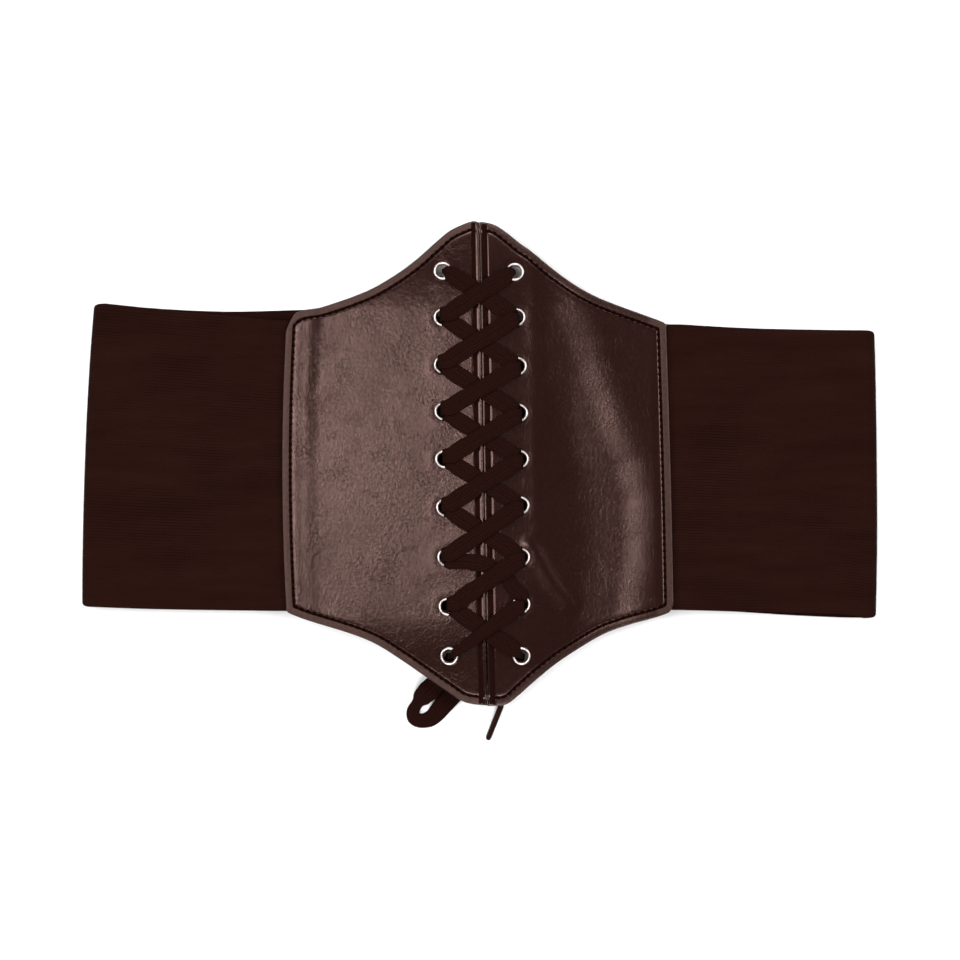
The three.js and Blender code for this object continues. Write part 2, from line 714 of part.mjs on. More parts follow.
[LEFT, RIGHT].forEach((panel) => {
  const side = panel === LEFT ? 'left' : 'right';
  addMesh(`panel_${side}`, cutEyeletHoles(panel, panelGeometry(panel)), LEATHER_LOOK);
  for (let row = 0; row < ROWS; row += 1) {
    const eyelet = addMesh(`eyelet_${side}_${row + 1}`, eyeletGeometry(), METAL_LOOK);
    seatOnLeather(eyelet, eyeletPlace(panel, row));
  }
});
addMesh('band', bandGeometry(), ELASTIC_LOOK);
addMesh('lace', laceGeometry(laceSections(), LACE_SIDES), LACE_LOOK);
addMesh('lace_tail_left', laceGeometry(tailSections(LEFT_TAIL), TAIL_SIDES), LACE_LOOK);
addMesh('lace_tail_right', laceGeometry(tailSections(RIGHT_TAIL), TAIL_SIDES), LACE_LOOK);
addAglet('aglet_left', LEFT_TAIL);
addAglet('aglet_right', RIGHT_TAIL);

export default belt;
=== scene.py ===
"""Corset belt: two laced leather panels on a wide ribbed elastic, lying flat on its back.

Metres, +Z up from the floor, +X to the right and +Y to the top of the laced edge.
"""

import logging
import math
from collections.abc import Callable, Sequence
from dataclasses import dataclass
from enum import Enum

import bmesh
import bpy
from mathutils import Matrix, Vector, noise


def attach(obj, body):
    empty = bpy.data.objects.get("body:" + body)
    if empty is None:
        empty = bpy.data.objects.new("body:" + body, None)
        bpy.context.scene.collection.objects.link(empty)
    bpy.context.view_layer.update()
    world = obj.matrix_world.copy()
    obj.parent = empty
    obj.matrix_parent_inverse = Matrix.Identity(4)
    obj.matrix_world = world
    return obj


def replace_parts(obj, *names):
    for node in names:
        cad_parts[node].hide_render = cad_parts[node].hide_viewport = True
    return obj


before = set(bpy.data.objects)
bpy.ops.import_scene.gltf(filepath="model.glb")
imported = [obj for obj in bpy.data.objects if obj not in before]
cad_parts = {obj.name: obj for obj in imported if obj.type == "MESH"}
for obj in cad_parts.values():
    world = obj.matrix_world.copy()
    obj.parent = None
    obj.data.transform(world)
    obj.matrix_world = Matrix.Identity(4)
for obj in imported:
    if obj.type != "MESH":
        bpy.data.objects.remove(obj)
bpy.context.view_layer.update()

MM = 0.001
MERGE = 1e-7
TINY = 1e-6
log = logging.getLogger("corset_belt")

Pair = tuple[float, float]
Triple = tuple[float, float, float]
Quad = tuple[float, float, float, float]
Table = tuple[Pair, ...]
Mesh = bmesh.types.BMesh
Vertex = bmesh.types.BMVert
Socket = bpy.types.NodeSocket
Material = bpy.types.Material
Piece = bpy.types.Object
GridPlace = Callable[[Vertex], tuple[int, int]]


class Side(Enum):
    """The two halves of the front. The value is the sign of their side of the seam."""

    LEFT = -1
    RIGHT = 1


class Slot(Enum):
    """The record's material slots."""

    LEATHER = "leather"
    ELASTIC = "elastic"
    LACE = "lace_cord"
    EYELET = "eyelet_metal"
    TIP = "tip_plastic"


def smooth_step(value: float, low: float, high: float) -> float:
    """Share of the way between two limits, eased at both ends.

    Args:
        value: Where to read it.
        low: The limit where it is 0.
        high: The limit where it is 1.

    Returns:
        A share from 0 to 1.
    """
    share = min(1.0, max(0.0, (value - low) / (high - low)))
    return share * share * (3 - 2 * share)


def mix(start: float, end: float, share: float) -> float:
    """The value that lies a share of the way from start to end."""
    return start + (end - start) * share


def bell(distance: float, spread: float) -> float:
    """A smooth bump of height 1 at distance 0, with the given spread."""
    return math.exp(-((distance / spread) ** 2))


def hermite(t: float) -> Quad:
    """Weights of a smooth span's start, its slope there, its end and its slope there."""
    return 2 * t**3 - 3 * t**2 + 1, t**3 - 2 * t**2 + t, 3 * t**2 - 2 * t**3, t**3 - t**2


def read_curve(rows: Sequence[Pair], place: float) -> float:
    """Smooth curve through a table's rows.

    Args:
        rows: Pairs of place and value, in rising order of place.
        place: Where to read the curve.

    Returns:
        The curve's value there.
    """
    last = len(rows) - 1
    k = next((i for i in range(1, last) if rows[i][0] >= place), last)
    slopes = []
    for i in (k - 1, k):
        before, after = rows[max(0, i - 1)], rows[min(last, i + 1)]
        slopes.append((after[1] - before[1]) / (after[0] - before[0]))
    (x0, y0), (x1, y1) = rows[k - 1], rows[k]
    run = x1 - x0
    start, leave, end, arrive = hermite((place - x0) / run)
    return start * y0 + leave * run * slopes[0] + (end * y1 + arrive * run * slopes[1])


def away_from_line(point: Vector, line: Sequence[Pair]) -> Pair:
    """Where a point lies beside a bent line.

    Args:
        point: The point, of which x and y are used.
        line: The line's corners.

    Returns:
        The distance to the line, positive on the right of its run, and the share of the run.
    """
    best, share = math.inf, 0.0
    spans = len(line) - 1
    for k in range(spans):
        start, end = Vector(line[k]), Vector(line[k + 1])
        run = end - start
        offset = Vector((point[0], point[1])) - start
        along = min(1.0, max(0.0, offset.dot(run) / run.length_squared))
        gap = offset - run * along
        if gap.length < abs(best):
            side = math.copysign(1.0, run.y * offset.x - run.x * offset.y)
            best, share = side * gap.length, (k + along) / spans
    return best, share


# The belt's form


@dataclass(frozen=True)
class PanelCut:
    """One leather panel's pattern.

    Corners are the radii of the upper and the lower outer corner. The groove beside the laced edge
    is given by its near side, its deepest line and its far side, and groove_shade by the strip of
    it that gets painted shade. The rows of top and foot give, at a share of the width from the outer
    edge, how far the edge has come from the outer corner to the full height at the laced edge.
    """

    side: Side
    width: float
    side_height: float
    side_shift: float
    side_bow: float
    side_lean: float
    setback: float
    corners: Pair
    groove: Triple
    groove_depth: float
    groove_shade: Pair
    top: Table
    foot: Table

    @property
    def sign(self) -> int:
        """-1 on the left and 1 on the right."""
        return self.side.value


LEFT_CUT = PanelCut(
    side=Side.LEFT,
    width=80.8 * MM,
    side_height=118.3 * MM,
    side_shift=-2 * MM,
    side_bow=1.7 * MM,
    side_lean=0.2 * MM,
    setback=14.9 * MM,
    corners=(4 * MM, 1.6 * MM),
    groove=(0.8 * MM, 1.9 * MM, 3.9 * MM),
    groove_depth=0.35 * MM,
    groove_shade=(1.5 * MM, 3.3 * MM),
    top=(
        (0, 0), (0.055, 0.117), (0.187, 0.172), (0.406, 0.317), (0.532, 0.443), (0.657, 0.606),
        (0.783, 0.81), (0.845, 0.904), (0.909, 0.963), (0.971, 1), (1, 0.986),
    ),
    foot=(
        (0, 0), (0.089, 0.075), (0.329, 0.235), (0.448, 0.34), (0.568, 0.5), (0.71, 0.711),
        (0.797, 0.84), (0.873, 0.946), (0.92, 0.977), (1, 0.995),
    ),
)
RIGHT_CUT = PanelCut(
    side=Side.RIGHT,
    width=76.4 * MM,
    side_height=116.1 * MM,
    side_shift=-0.35 * MM,
    side_bow=0.3 * MM,
    side_lean=-3.1 * MM,
    setback=13.8 * MM,
    corners=(1.5 * MM, 1.5 * MM),
    groove=(2.5 * MM, 3.0 * MM, 3.7 * MM),
    groove_depth=0.3 * MM,
    groove_shade=(1.1 * MM, 3.0 * MM),
    top=(
        (0, 0), (0.077, 0.054), (0.336, 0.229), (0.465, 0.348), (0.594, 0.513), (0.723, 0.707),
        (0.787, 0.79), (0.851, 0.884), (0.916, 0.962), (0.98, 0.991), (1, 0.991),
    ),
    foot=(
        (0, 0), (0.03, 0.075), (0.247, 0.197), (0.377, 0.286), (0.507, 0.425), (0.636, 0.584),
        (0.766, 0.781), (0.83, 0.887), (0.902, 0.985), (1, 1),
    ),
)


def other_cut(cut: PanelCut) -> PanelCut:
    """The other panel."""
    return RIGHT_CUT if cut is LEFT_CUT else LEFT_CUT


@dataclass(frozen=True)
class BeltForm:
    """The sizes that the pieces share, and the surface that the leather follows."""

    height: float = 200 * MM
    leather: float = 2 * MM
    seam_gap: float = 1 * MM
    seam_offset: float = 1.6 * MM
    seam_lean: float = 3.45 * MM
    leather_mid: float = 10.3 * MM
    band_edge: float = 63 * MM
    closing: float = 0.48 * MM
    step_down: float = 0.5 * MM
    left_step: Pair = (9.5 * MM, 15 * MM)
    left_step_share: Pair = (0.14, 0.4)
    left_step_rows: Pair = (-5 * MM, 30 * MM)
    step_wander: float = 1.2 * MM
    wander_cells: float = 55
    right_step_width: float = 9 * MM
    right_step: Table = (
        (0.0345, 0.080), (0.0369, 0.0645), (0.0431, 0.0509), (0.0485, 0.0344), (0.0546, 0.0179),
        (0.0621, 0.0014), (0.0660, -0.0151), (0.0664, -0.0315), (0.0648, -0.0480), (0.0605, -0.075),
    )
    centre_lift: float = 1.5 * MM
    lift_start: float = 0.06
    lift_bow: float = -0.8
    tip_droop: float = 3.6 * MM
    droop_curve: float = 1.7
    rows: int = 9
    pitch: float = 19.8 * MM
    row_bow: float = 1.8 * MM
    column_bow: float = 0.7 * MM
    wander: Table = (
        (0, -0.02), (0, 0), (-0.015, -0.045), (0, -0.035), (0, 0),
        (0, 0.04), (-0.02, -0.015), (-0.015, 0.03), (0, 0),
    )

    def seam_x(self, y: float) -> float:
        """The middle of the gap between the panels at a height."""
        return self.seam_offset - self.seam_lean * y / self.height

    def step_share(self, cut: PanelCut, x: float, y: float) -> float:
        """How far the leather has come down from its outer part over the elastic's end.

        Args:
            cut: The panel.
            x: Place across the belt.
            y: Place up the belt.

        Returns:
            A share, 0 on the outer part.
        """
        if cut.side is Side.LEFT:
            wander = self.step_wander * noise.noise(Vector((0, y * self.wander_cells, 0)))
            inset = x - self.outer_edge(cut, y) + wander
            share = mix(*self.left_step_share, smooth_step(y, *self.left_step_rows))
            return share * smooth_step(inset, *self.left_step)
        away, _ = away_from_line(Vector((x, y)), self.right_step)
        return smooth_step(away, -self.right_step_width, self.right_step_width)

    def laced_edge(self, cut: PanelCut, y: float) -> float:
        """The x of a panel's laced edge at a height."""
        return self.seam_x(y) + cut.sign * self.seam_gap / 2

    def outer_edge(self, cut: PanelCut, y: float) -> float:
        """The x of a panel's outer edge.

        Args:
            cut: The panel.
            y: Place up the belt.

        Returns:
            The edge's x there, with its bow and its lean.
        """
        bow = cut.side_bow * max(0.0, 1 - (2 * y / cut.side_height) ** 2)
        middle = self.seam_offset + cut.sign * (self.seam_gap / 2 + cut.width + bow)
        return middle + cut.side_lean * y / cut.side_height

    def edge_y(self, cut: PanelCut, across: float, upper: bool) -> float:
        """The y of a panel's upper or lower edge, before its corner is rounded.

        Args:
            cut: The panel.
            across: Share of the width from the outer edge.
            upper: Whether the upper edge is meant.

        Returns:
            The edge's y.
        """
        sign = 1 if upper else -1
        corner = cut.side_shift + sign * cut.side_height / 2
        share = read_curve(cut.top if upper else cut.foot, across)
        return mix(corner, sign * self.height / 2, share)

    def leather_height(self, x: float, y: float) -> float:
        """Height of the middle of the leather, with its step, its lift and its drooping tips.

        Args:
            x: Place across the belt.
            y: Place up the belt.

        Returns:
            The height over the floor.
        """
        cut = LEFT_CUT if x < self.seam_x(y) else RIGHT_CUT
        inset = abs(x - self.outer_edge(cut, y))
        step = self.step_down * self.step_share(cut, x, y)
        share = max(0.0, inset / cut.width - self.lift_start) / (1 - self.lift_start)
        lift = self.centre_lift * share * (1 + self.lift_bow * (1 - share))
        past = max(0.0, abs(y) - self.band_edge) / (self.height / 2 - self.band_edge)
        return self.leather_mid - step + lift - self.tip_droop * past**self.droop_curve

    def leather_normal(self, x: float, y: float, reach: float) -> Vector:
        """Upward direction square to the leather.

        Args:
            x: Place across the belt.
            y: Place up the belt.
            reach: How far to each side the slope is taken.

        Returns:
            The direction.
        """
        rise_x = self.leather_height(x + reach, y) - self.leather_height(x - reach, y)
        rise_y = self.leather_height(x, y + reach) - self.leather_height(x, y - reach)
        return Vector((-rise_x, -rise_y, 2 * reach)).normalized()

    def eyelet_place(self, cut: PanelCut, row: int) -> Vector:
        """Where an eyelet's axis crosses the middle of the leather.

        Args:
            cut: The panel.
            row: The eyelet's row, from 0 at the top.

        Returns:
            The place.
        """
        half = (self.rows - 1) / 2
        share = (half - row) / half
        bow = 1 - share * share
        wander = self.wander[row][0 if cut.side is Side.LEFT else 1]
        y = (half - row + wander) * self.pitch + self.row_bow * bow
        x = self.laced_edge(cut, y) + cut.sign * (cut.setback + self.column_bow * bow)
        return Vector((x, y, self.leather_height(x, y)))


# Finishes


class Shader:
    """A material's nodes, added and linked by short calls."""

    def __init__(self, name: str) -> None:
        """Makes an empty material with a Principled shader.

        Args:
            name: The material's name.
        """
        self.material = bpy.data.materials.new(name)
        self.material.use_nodes = True
        self.tree = self.material.node_tree
        self.base = self.tree.nodes["Principled BSDF"]

    def add(
        self, kind: str, inputs: dict[str | int, object] | None = None, **settings: object,
    ) -> bpy.types.Node:
        """Adds a node.

        Args:
            kind: The node's type.
            inputs: Values or output sockets for its inputs.
            settings: Values for its own properties.

        Returns:
            The new node.
        """
        node = self.tree.nodes.new(kind)
        for name, value in settings.items():
            setattr(node, name, value)
        for name, value in (inputs or {}).items():
            self.put(node.inputs[name], value)
        return node

    def put(self, socket: Socket, value: object) -> None:
        """Links an output to a socket, or sets the socket's own value.

        Args:
            socket: The socket.
            value: The output or the value.
        """
        if isinstance(value, Socket):
            self.tree.links.new(value, socket)
        else:
            socket.default_value = value

    def math(self, operation: str, *values: object) -> Socket:
        """The result of a Math node.

        Args:
            operation: What it does.
            values: Values or output sockets.

        Returns:
            The result.
        """
        node = self.add("ShaderNodeMath", operation=operation)
        for socket, value in zip(node.inputs, values):
            self.put(socket, value)
        return node.outputs[0]

    def times(self, one: object, other: object) -> Socket:
        """The product of two values."""
        return self.math("MULTIPLY", one, other)

    def plus(self, one: object, other: object) -> Socket:
        """The sum of two values."""
        return self.math("ADD", one, other)

    def minus(self, one: object, other: object) -> Socket:
        """The difference of two values."""
        return self.math("SUBTRACT", one, other)

    def away(self, value: object, middle: float) -> Socket:
        """How far a value lies from a middle one, to either side."""
        return self.math("ABSOLUTE", self.minus(value, middle))

    def blend(self, one: object, other: object, share: float) -> Socket:
        """Two values added, the first by its share and the other by what is left."""
        return self.plus(self.times(one, share), self.times(other, 1 - share))

    def wave(self, kind: str, value: object, turn: float) -> Socket:
        """The sine or cosine of a value times a turn."""
        return self.math(kind, self.times(value, turn))

    def scaled(self, colour: object, share: object) -> Socket:
        """A colour or vector times a share.

        Args:
            colour: The colour or vector.
            share: The share, as a value or a socket.

        Returns:
            The result.
        """
        node = self.add("ShaderNodeVectorMath", {0: colour}, operation="SCALE")
        self.put(node.inputs["Scale"], share)
        return node.outputs[0]

    def split(self, vector: object) -> Sequence[Socket]:
        """The three parts of a vector."""
        return self.add("ShaderNodeSeparateXYZ", {0: vector}).outputs

    def uv(self) -> Socket:
        """The piece's own UV map, along its run and across it."""
        return self.add("ShaderNodeUVMap", uv_map="run").outputs[0]

    def place(self, stretch: Triple = (1, 1, 1)) -> Socket:
        """The object's own coordinates, stretched along each axis."""
        where = self.add("ShaderNodeTexCoord").outputs["Object"]
        return self.add("ShaderNodeMapping", {"Vector": where, "Scale": stretch}).outputs[0]

    def attribute(self, name: str) -> Socket:
        """A number that the mesh holds for each vertex."""
        return self.add("ShaderNodeAttribute", attribute_name=name).outputs["Fac"]

    def noise(
        self, where: object, scale: float, detail: float = 3, rough: float = 0.5, swirl: float = 0,
    ) -> Socket:
        """A soft noise from 0 to 1.

        Args:
            where: The coordinates.
            scale: Cells to a metre.
            detail: How many finer noises lie on it.
            rough: How strong the finer ones are.
            swirl: How much it is twisted.

        Returns:
            The noise.
        """
        sizes = {"Vector": where, "Scale": scale, "Detail": detail, "Roughness": rough}
        return self.add("ShaderNodeTexNoise", {**sizes, "Distortion": swirl}).outputs[0]

    def ramp(self, value: object, places: Pair, dark: Triple, light: Triple) -> Socket:
        """A colour between two by a value.

        Args:
            value: The socket that gives the value.
            places: The values where the colour is dark and where it is light.
            dark: The linear colour at the first.
            light: The linear colour at the second.

        Returns:
            The colour.
        """
        node = self.add("ShaderNodeValToRGB", {"Fac": value})
        for element, position, colour in zip(node.color_ramp.elements, places, (dark, light)):
            element.position = position
            element.color = (*colour, 1)
        return node.outputs[0]

    def limits(self, value: object, low: float, high: float, start: float, end: float) -> Socket:
        """A value taken from one pair of limits to another, and kept in them.

        Args:
            value: The value.
            low: Its lower limit.
            high: Its upper limit.
            start: What the lower limit becomes.
            end: What the upper limit becomes.

        Returns:
            The new value.
        """
        names = {"From Min": low, "From Max": high, "To Min": start, "To Max": end}
        return self.add("ShaderNodeMapRange", {"Value": value, **names}).outputs[0]

    def bump(self, height: object, distance: float, strength: float = 1.0) -> None:
        """Leads a height to the shader's normal, over what is there already.

        Args:
            height: The height, from 0 to 1.
            distance: How high 1 is.
            strength: Share of the effect.
        """
        sizes = {"Height": height, "Distance": distance, "Strength": strength}
        socket = self.base.inputs["Normal"]
        if socket.is_linked:
            sizes["Normal"] = socket.links[0].from_socket
        self.put(socket, self.add("ShaderNodeBump", sizes).outputs[0])

    def shine(self, **values: object) -> None:
        """Sets the shader's own sockets, named with underscores for spaces."""
        for name, value in values.items():
            self.put(self.base.inputs[name.replace("_", " ")], value)


WARM = (1.0, 0.45, 0.35, 1.0)


@dataclass(frozen=True)
class LeatherFinish:
    """Dark brown coated leather: fine grain, some wrinkles, and a duller stitched border.

    Patch, grain, fleck and mask are noises, each with its cells to a metre, detail and roughness.
    A band is a pair of distances between which a painted shade fades. Ridge and wrinkle are sizes
    in cells to a metre. The colour holds painted shade in the grooves, at the rounded edges and
    round the eyelets, and the border strip can be painted lighter only along its outer side.
    """

    dark: Triple = (0.0068, 0.0011, 0.0006)
    light: Triple = (0.0094, 0.0019, 0.0012)
    tones: Pair = (0.3, 0.72)
    strip_dark: Triple = (0.0075, 0.0020, 0.0013)
    strip_light: Triple = (0.026, 0.0110, 0.0084)
    strip_tones: Pair = (0.38, 0.64)
    tint: Quad = (1.0, 0.64, 0.57, 1.0)
    patch: Triple = (28, 4, 0.6)
    patch_share: float = 0.6
    grain: Triple = (1050, 2, 0.6)
    grain_depth: float = 0.03 * MM
    fleck: Triple = (700, 3, 0.7)
    ridge: float = 620
    ridge_swirl: float = 0.6
    ridge_half: float = 0.12
    ridge_depth: float = 0.012 * MM
    wrinkle: float = 400
    wrinkle_half: float = 0.055
    wrinkle_turn: float = math.radians(35)
    wrinkle_depth: float = 0.018 * MM
    mask: Triple = (95, 2, 0.6)
    mask_tones: Pair = (0.42, 0.6)
    drift: float = 150.0
    bend: float = 0.005
    pull: Triple = (1.5, 0.8, 1.0)
    roughness: Pair = (0.18, 0.22)
    polish_tones: Pair = (0.3, 0.7)
    border: float = 3.5 * MM
    border_band: Pair = (0.5 * MM, 0.25 * MM)
    border_end: float = 0.6 * MM
    # Below 1, the border strip is lighter only along the outer side: painted light.
    shaded_strip_share: float = 1.0
    border_rough: float = 0.22
    # Below: painted shade in the grooves, at the rounded edges and round each eyelet.
    line_band: Pair = (0.4 * MM, 0.9 * MM)
    line_shade: float = 0.12
    seam_shade: float = 0.3
    edge_shade_band: Pair = (0.3 * MM, 0.6 * MM)
    edge_ring_shade: float = 0.25
    eye: float = 4.05 * MM
    fade: float = 0.5 * MM

    def wrinkles(self, shader: Shader, where: object) -> Socket:
        """Short bent creases in some places.

        Args:
            shader: The material's nodes.
            where: The coordinates.

        Returns:
            A height, 1 on the smooth leather and 0 in a crease.
        """
        drift = shader.add("ShaderNodeTexNoise", {"Vector": where, "Scale": self.drift, "Detail": 2.0})
        bent = {0: where, 1: shader.scaled(drift.outputs["Color"], self.bend)}
        moved = shader.add("ShaderNodeVectorMath", bent, operation="ADD").outputs[0]
        lie = {"Vector": moved, "Rotation": (0, 0, self.wrinkle_turn), "Scale": self.pull}
        sizes = {"Vector": shader.add("ShaderNodeMapping", lie).outputs[0], "Scale": self.wrinkle}
        cells = shader.add("ShaderNodeTexVoronoi", sizes, feature="DISTANCE_TO_EDGE")
        crease = shader.limits(cells.outputs["Distance"], 0, self.wrinkle_half, 1, 0)
        mask = shader.limits(shader.noise(where, *self.mask), *self.mask_tones, 0, 1)
        return shader.minus(1.0, shader.times(crease, mask))

    def shade(self, shader: Shader, rim: object, laced: object, groove: Pair) -> Socket:
        """Painted shade in the stitch and laced grooves, at the rounded edges and round the eyelets.

        Args:
            shader: The material's nodes.
            rim: Distance to the stitched rim.
            laced: Distance to the laced edge.
            groove: The strip beside the laced edge that gets painted shade, by the distances to the edge.

        Returns:
            A share of the colour.
        """
        # Painted shade in the grooves, at the rounded edges and in a ring round each eyelet.
        middle, half = (groove[0] + groove[1]) / 2, (groove[1] - groove[0]) / 2
        edge = shader.math("MINIMUM", rim, laced)
        line = shader.limits(shader.away(rim, self.border), *self.line_band, self.line_shade, 1)
        seam = shader.limits(shader.away(laced, middle), half, half + self.fade, self.seam_shade, 1)
        ring = shader.limits(shader.attribute("eye"), self.eye, self.eye + self.fade, self.edge_ring_shade, 1)
        dark_edge = shader.limits(edge, *self.edge_shade_band, self.edge_ring_shade, 1)
        return shader.times(shader.times(line, seam), shader.times(dark_edge, ring))

    def material(self, name: str, groove: Pair) -> Material:
        """The leather as a material.

        Args:
            name: The material's name.
            groove: The strip beside the laced edge that gets painted shade, by the distances to the edge.

        Returns:
            The material.
        """
        shader = Shader(name)
        where = shader.place()
        grain = shader.noise(where, *self.grain)
        tone = shader.blend(shader.noise(where, *self.patch), grain, self.patch_share)
        leather = shader.ramp(tone, self.tones, self.dark, self.light)
        fleck = shader.noise(where, *self.fleck)
        strip = shader.ramp(fleck, self.strip_tones, self.strip_dark, self.strip_light)
        rim = shader.attribute("rim")
        laced = shader.attribute("laced")
        start, end = self.border_band
        border = shader.limits(rim, self.border - start, self.border - end, 1, 0)
        inner = shader.limits(laced, self.border - self.border_end, self.border, 0, 1)
        # Painted light: the border strip shows its lighter colour in full only along the outer side.
        outer = shader.limits(shader.attribute("side"), 0, 1, self.shaded_strip_share, 1)
        border = shader.times(shader.times(border, inner), outer)
        blend = shader.add("ShaderNodeMixRGB", {"Fac": border, "Color1": leather, "Color2": strip})
        # The colour darkened by the painted shade.
        toned = shader.scaled(blend.outputs[0], self.shade(shader, rim, laced, groove))
        polish = shader.limits(grain, *self.polish_tones, *self.roughness)
        rough = shader.plus(polish, shader.times(border, self.border_rough))
        shader.shine(Base_Color=toned, Roughness=rough, Specular_IOR_Level=0.5, Specular_Tint=self.tint)
        ridge = shader.away(shader.noise(where, self.ridge, 2.0, swirl=self.ridge_swirl), 0.5)
        shader.bump(self.wrinkles(shader, where), self.wrinkle_depth)
        shader.bump(shader.limits(ridge, 0, self.ridge_half, 0, 1), self.ridge_depth)
        shader.bump(grain, self.grain_depth)
        return shader.material


@dataclass(frozen=True)
class ElasticFinish:
    """Matt dark woven elastic with fine cross threads, and painted shade between its ribs in patches.

    Fuzz, patch and the shade patches are noises, each with its cells to a metre and its detail.
    """

    dark: Triple = (0.0093, 0.0028, 0.0020)
    light: Triple = (0.0140, 0.0046, 0.0034)
    tones: Pair = (0.3, 0.7)
    threads: float = 1500
    thread_share: float = 0.5
    fuzz: Pair = (2600, 2)
    patch: Pair = (60, 3)
    patch_stretch: Triple = (0.5, 3, 1)
    patch_share: float = 0.7
    shade_patches: Pair = (55, 2)
    shade_patch_stretch: Triple = (0.6, 1, 1)
    shade_patch_tones: Pair = (0.42, 0.62)
    depth: float = 0.08 * MM
    strength: float = 0.5
    rib_shade: float = 0.62
    rough: float = 0.95
    specular: float = 0.05

    def material(self, name: str, ribs: int) -> Material:
        """The elastic as a material.

        Args:
            name: The material's name.
            ribs: Ribs over the elastic's height.

        Returns:
            The material.
        """
        shader = Shader(name)
        where = shader.place()
        valley = shader.wave("COSINE", shader.split(shader.uv())[1], 2 * math.pi * ribs)
        fuzz = shader.noise(where, *self.fuzz)
        weave = shader.wave("SINE", shader.split(where)[0], self.threads * 2 * math.pi)
        patch = shader.noise(shader.place(self.patch_stretch), *self.patch)
        shade_patches = shader.noise(shader.place(self.shade_patch_stretch), *self.shade_patches)
        # Painted shade in the grooves between the ribs, shown in patches.
        in_shade_patch = shader.limits(shade_patches, *self.shade_patch_tones, 0, 1)
        shade = shader.times(shader.limits(valley, 0, 1, 0, 1 - self.rib_shade), in_shade_patch)
        tone = shader.blend(patch, fuzz, self.patch_share)
        cloth = shader.ramp(tone, self.tones, self.dark, self.light)
        shader.shine(Base_Color=shader.scaled(cloth, shader.minus(1.0, shade)), Roughness=self.rough)
        shader.shine(Specular_IOR_Level=self.specular, Specular_Tint=WARM)
        shader.bump(shader.plus(shader.times(weave, self.thread_share), fuzz), self.depth, self.strength)
        return shader.material


@dataclass(frozen=True)
class BraidFinish:
    """Matt flat braid, with its threads slanting to both sides of the run."""

    dark: Triple = (0.0055, 0.0015, 0.0010)
    light: Triple = (0.0145, 0.0046, 0.0034)
    tones: Pair = (0.3, 0.75)
    plait: float = 900
    plait_share: float = 0.25
    fuzz: Pair = (2200, 2)
    ribs: int = 6
    rib_start: float = 0.2
    rib_shade: float = 0.5
    depth: float = 0.1 * MM
    strength: float = 0.6
    rough: float = 0.9
    specular: float = 0.08

    def material(self, name: str, length: float, girth: float) -> Material:
        """The braid as a material.

        Args:
            name: The material's name.
            length: Length of the piece along its run, which its UV map spans from 0 to 1.
            girth: Length round the piece, which the map spans the other way.

        Returns:
            The material.
        """
        shader = Shader(name)
        uv = shader.uv()
        run = shader.add("ShaderNodeMapping", {"Vector": uv, "Scale": (length, girth, 1)}).outputs[0]
        turn = self.plait * 2 * math.pi
        along, around = (shader.times(part, turn) for part in list(shader.split(run))[:2])
        one = shader.math("SINE", shader.plus(along, around))
        other = shader.math("SINE", shader.minus(along, around))
        plait = shader.times(one, other)
        fuzz = shader.noise(run, *self.fuzz)
        tone = shader.plus(shader.times(plait, self.plait_share), fuzz)
        # Painted shade in the grooves between the braid's ribs.
        across = shader.wave("COSINE", shader.split(uv)[1], 2 * math.pi)
        rib = shader.wave("COSINE", across, self.ribs * math.pi)
        thread = shader.ramp(tone, self.tones, self.dark, self.light)
        ribbed = shader.scaled(thread, shader.limits(rib, self.rib_start, 1, 1, self.rib_shade))
        shader.shine(Base_Color=ribbed, Roughness=self.rough)
        shader.shine(Specular_IOR_Level=self.specular, Specular_Tint=WARM)
        shader.bump(shader.plus(plait, fuzz), self.depth, self.strength)
        return shader.material


@dataclass(frozen=True)
class PlainFinish:
    """A nearly even surface with small variation in its tone and polish."""

    dark: Triple
    light: Triple
    metallic: float
    roughness: Pair
    specular: float = 0.5
    tint: Quad = (1, 1, 1, 1)
    grain: float = 900
    depth: float = 0.01 * MM
    tones: Pair = (0.3, 0.7)
    strength: float = 0.5

    def material(self, name: str) -> Material:
        """The surface as a material.

        Args:
            name: The material's name.

        Returns:
            The material.
        """
        shader = Shader(name)
        tone = shader.noise(shader.place(), self.grain)
        shader.shine(
            Base_Color=shader.ramp(tone, self.tones, self.dark, self.light),
            Metallic=self.metallic,
            Roughness=shader.limits(tone, *self.tones, *self.roughness),
            Specular_IOR_Level=self.specular,
            Specular_Tint=self.tint,
        )
        shader.bump(tone, self.depth, self.strength)
        return shader.material


LEFT_LEATHER = LeatherFinish()
# The right panel's border strip is painted lighter only along its outer side, where light catches it.
RIGHT_LEATHER = LeatherFinish(
    wrinkle_depth=0.007 * MM, ridge_depth=0.01 * MM, grain_depth=0.018 * MM, shaded_strip_share=0.35,
)
# Dark matt material for the faces of the stitch groove and the laced groove: painted shade.
GROOVE_SHADE = PlainFinish(
    dark=(0.0045, 0.0011, 0.0007), light=(0.009, 0.0026, 0.0018), metallic=0.0,
    roughness=(0.6, 0.8), specular=0.04, tint=WARM,
)
NICKEL = PlainFinish(
    dark=(0.68, 0.575, 0.55), light=(0.76, 0.65, 0.625), metallic=1.0, roughness=(0.34, 0.42),
)
TIP = PlainFinish(
    dark=(0.005, 0.0016, 0.0012), light=(0.010, 0.0036, 0.0029), metallic=0.0,
    roughness=(0.32, 0.42), specular=0.1, tint=WARM,
)
THREAD = PlainFinish(
    dark=(0.003, 0.0008, 0.0006), light=(0.006, 0.0016, 0.0012), metallic=0.0,
    roughness=(0.8, 0.9), specular=0.02, tint=WARM, grain=2500, depth=0.05 * MM,
)
PAPER = PlainFinish(
    dark=(0.93, 0.93, 0.93), light=(0.95, 0.95, 0.95), metallic=0.0,
    roughness=(0.9, 0.95), specular=0.1, grain=40,
)


# Meshes


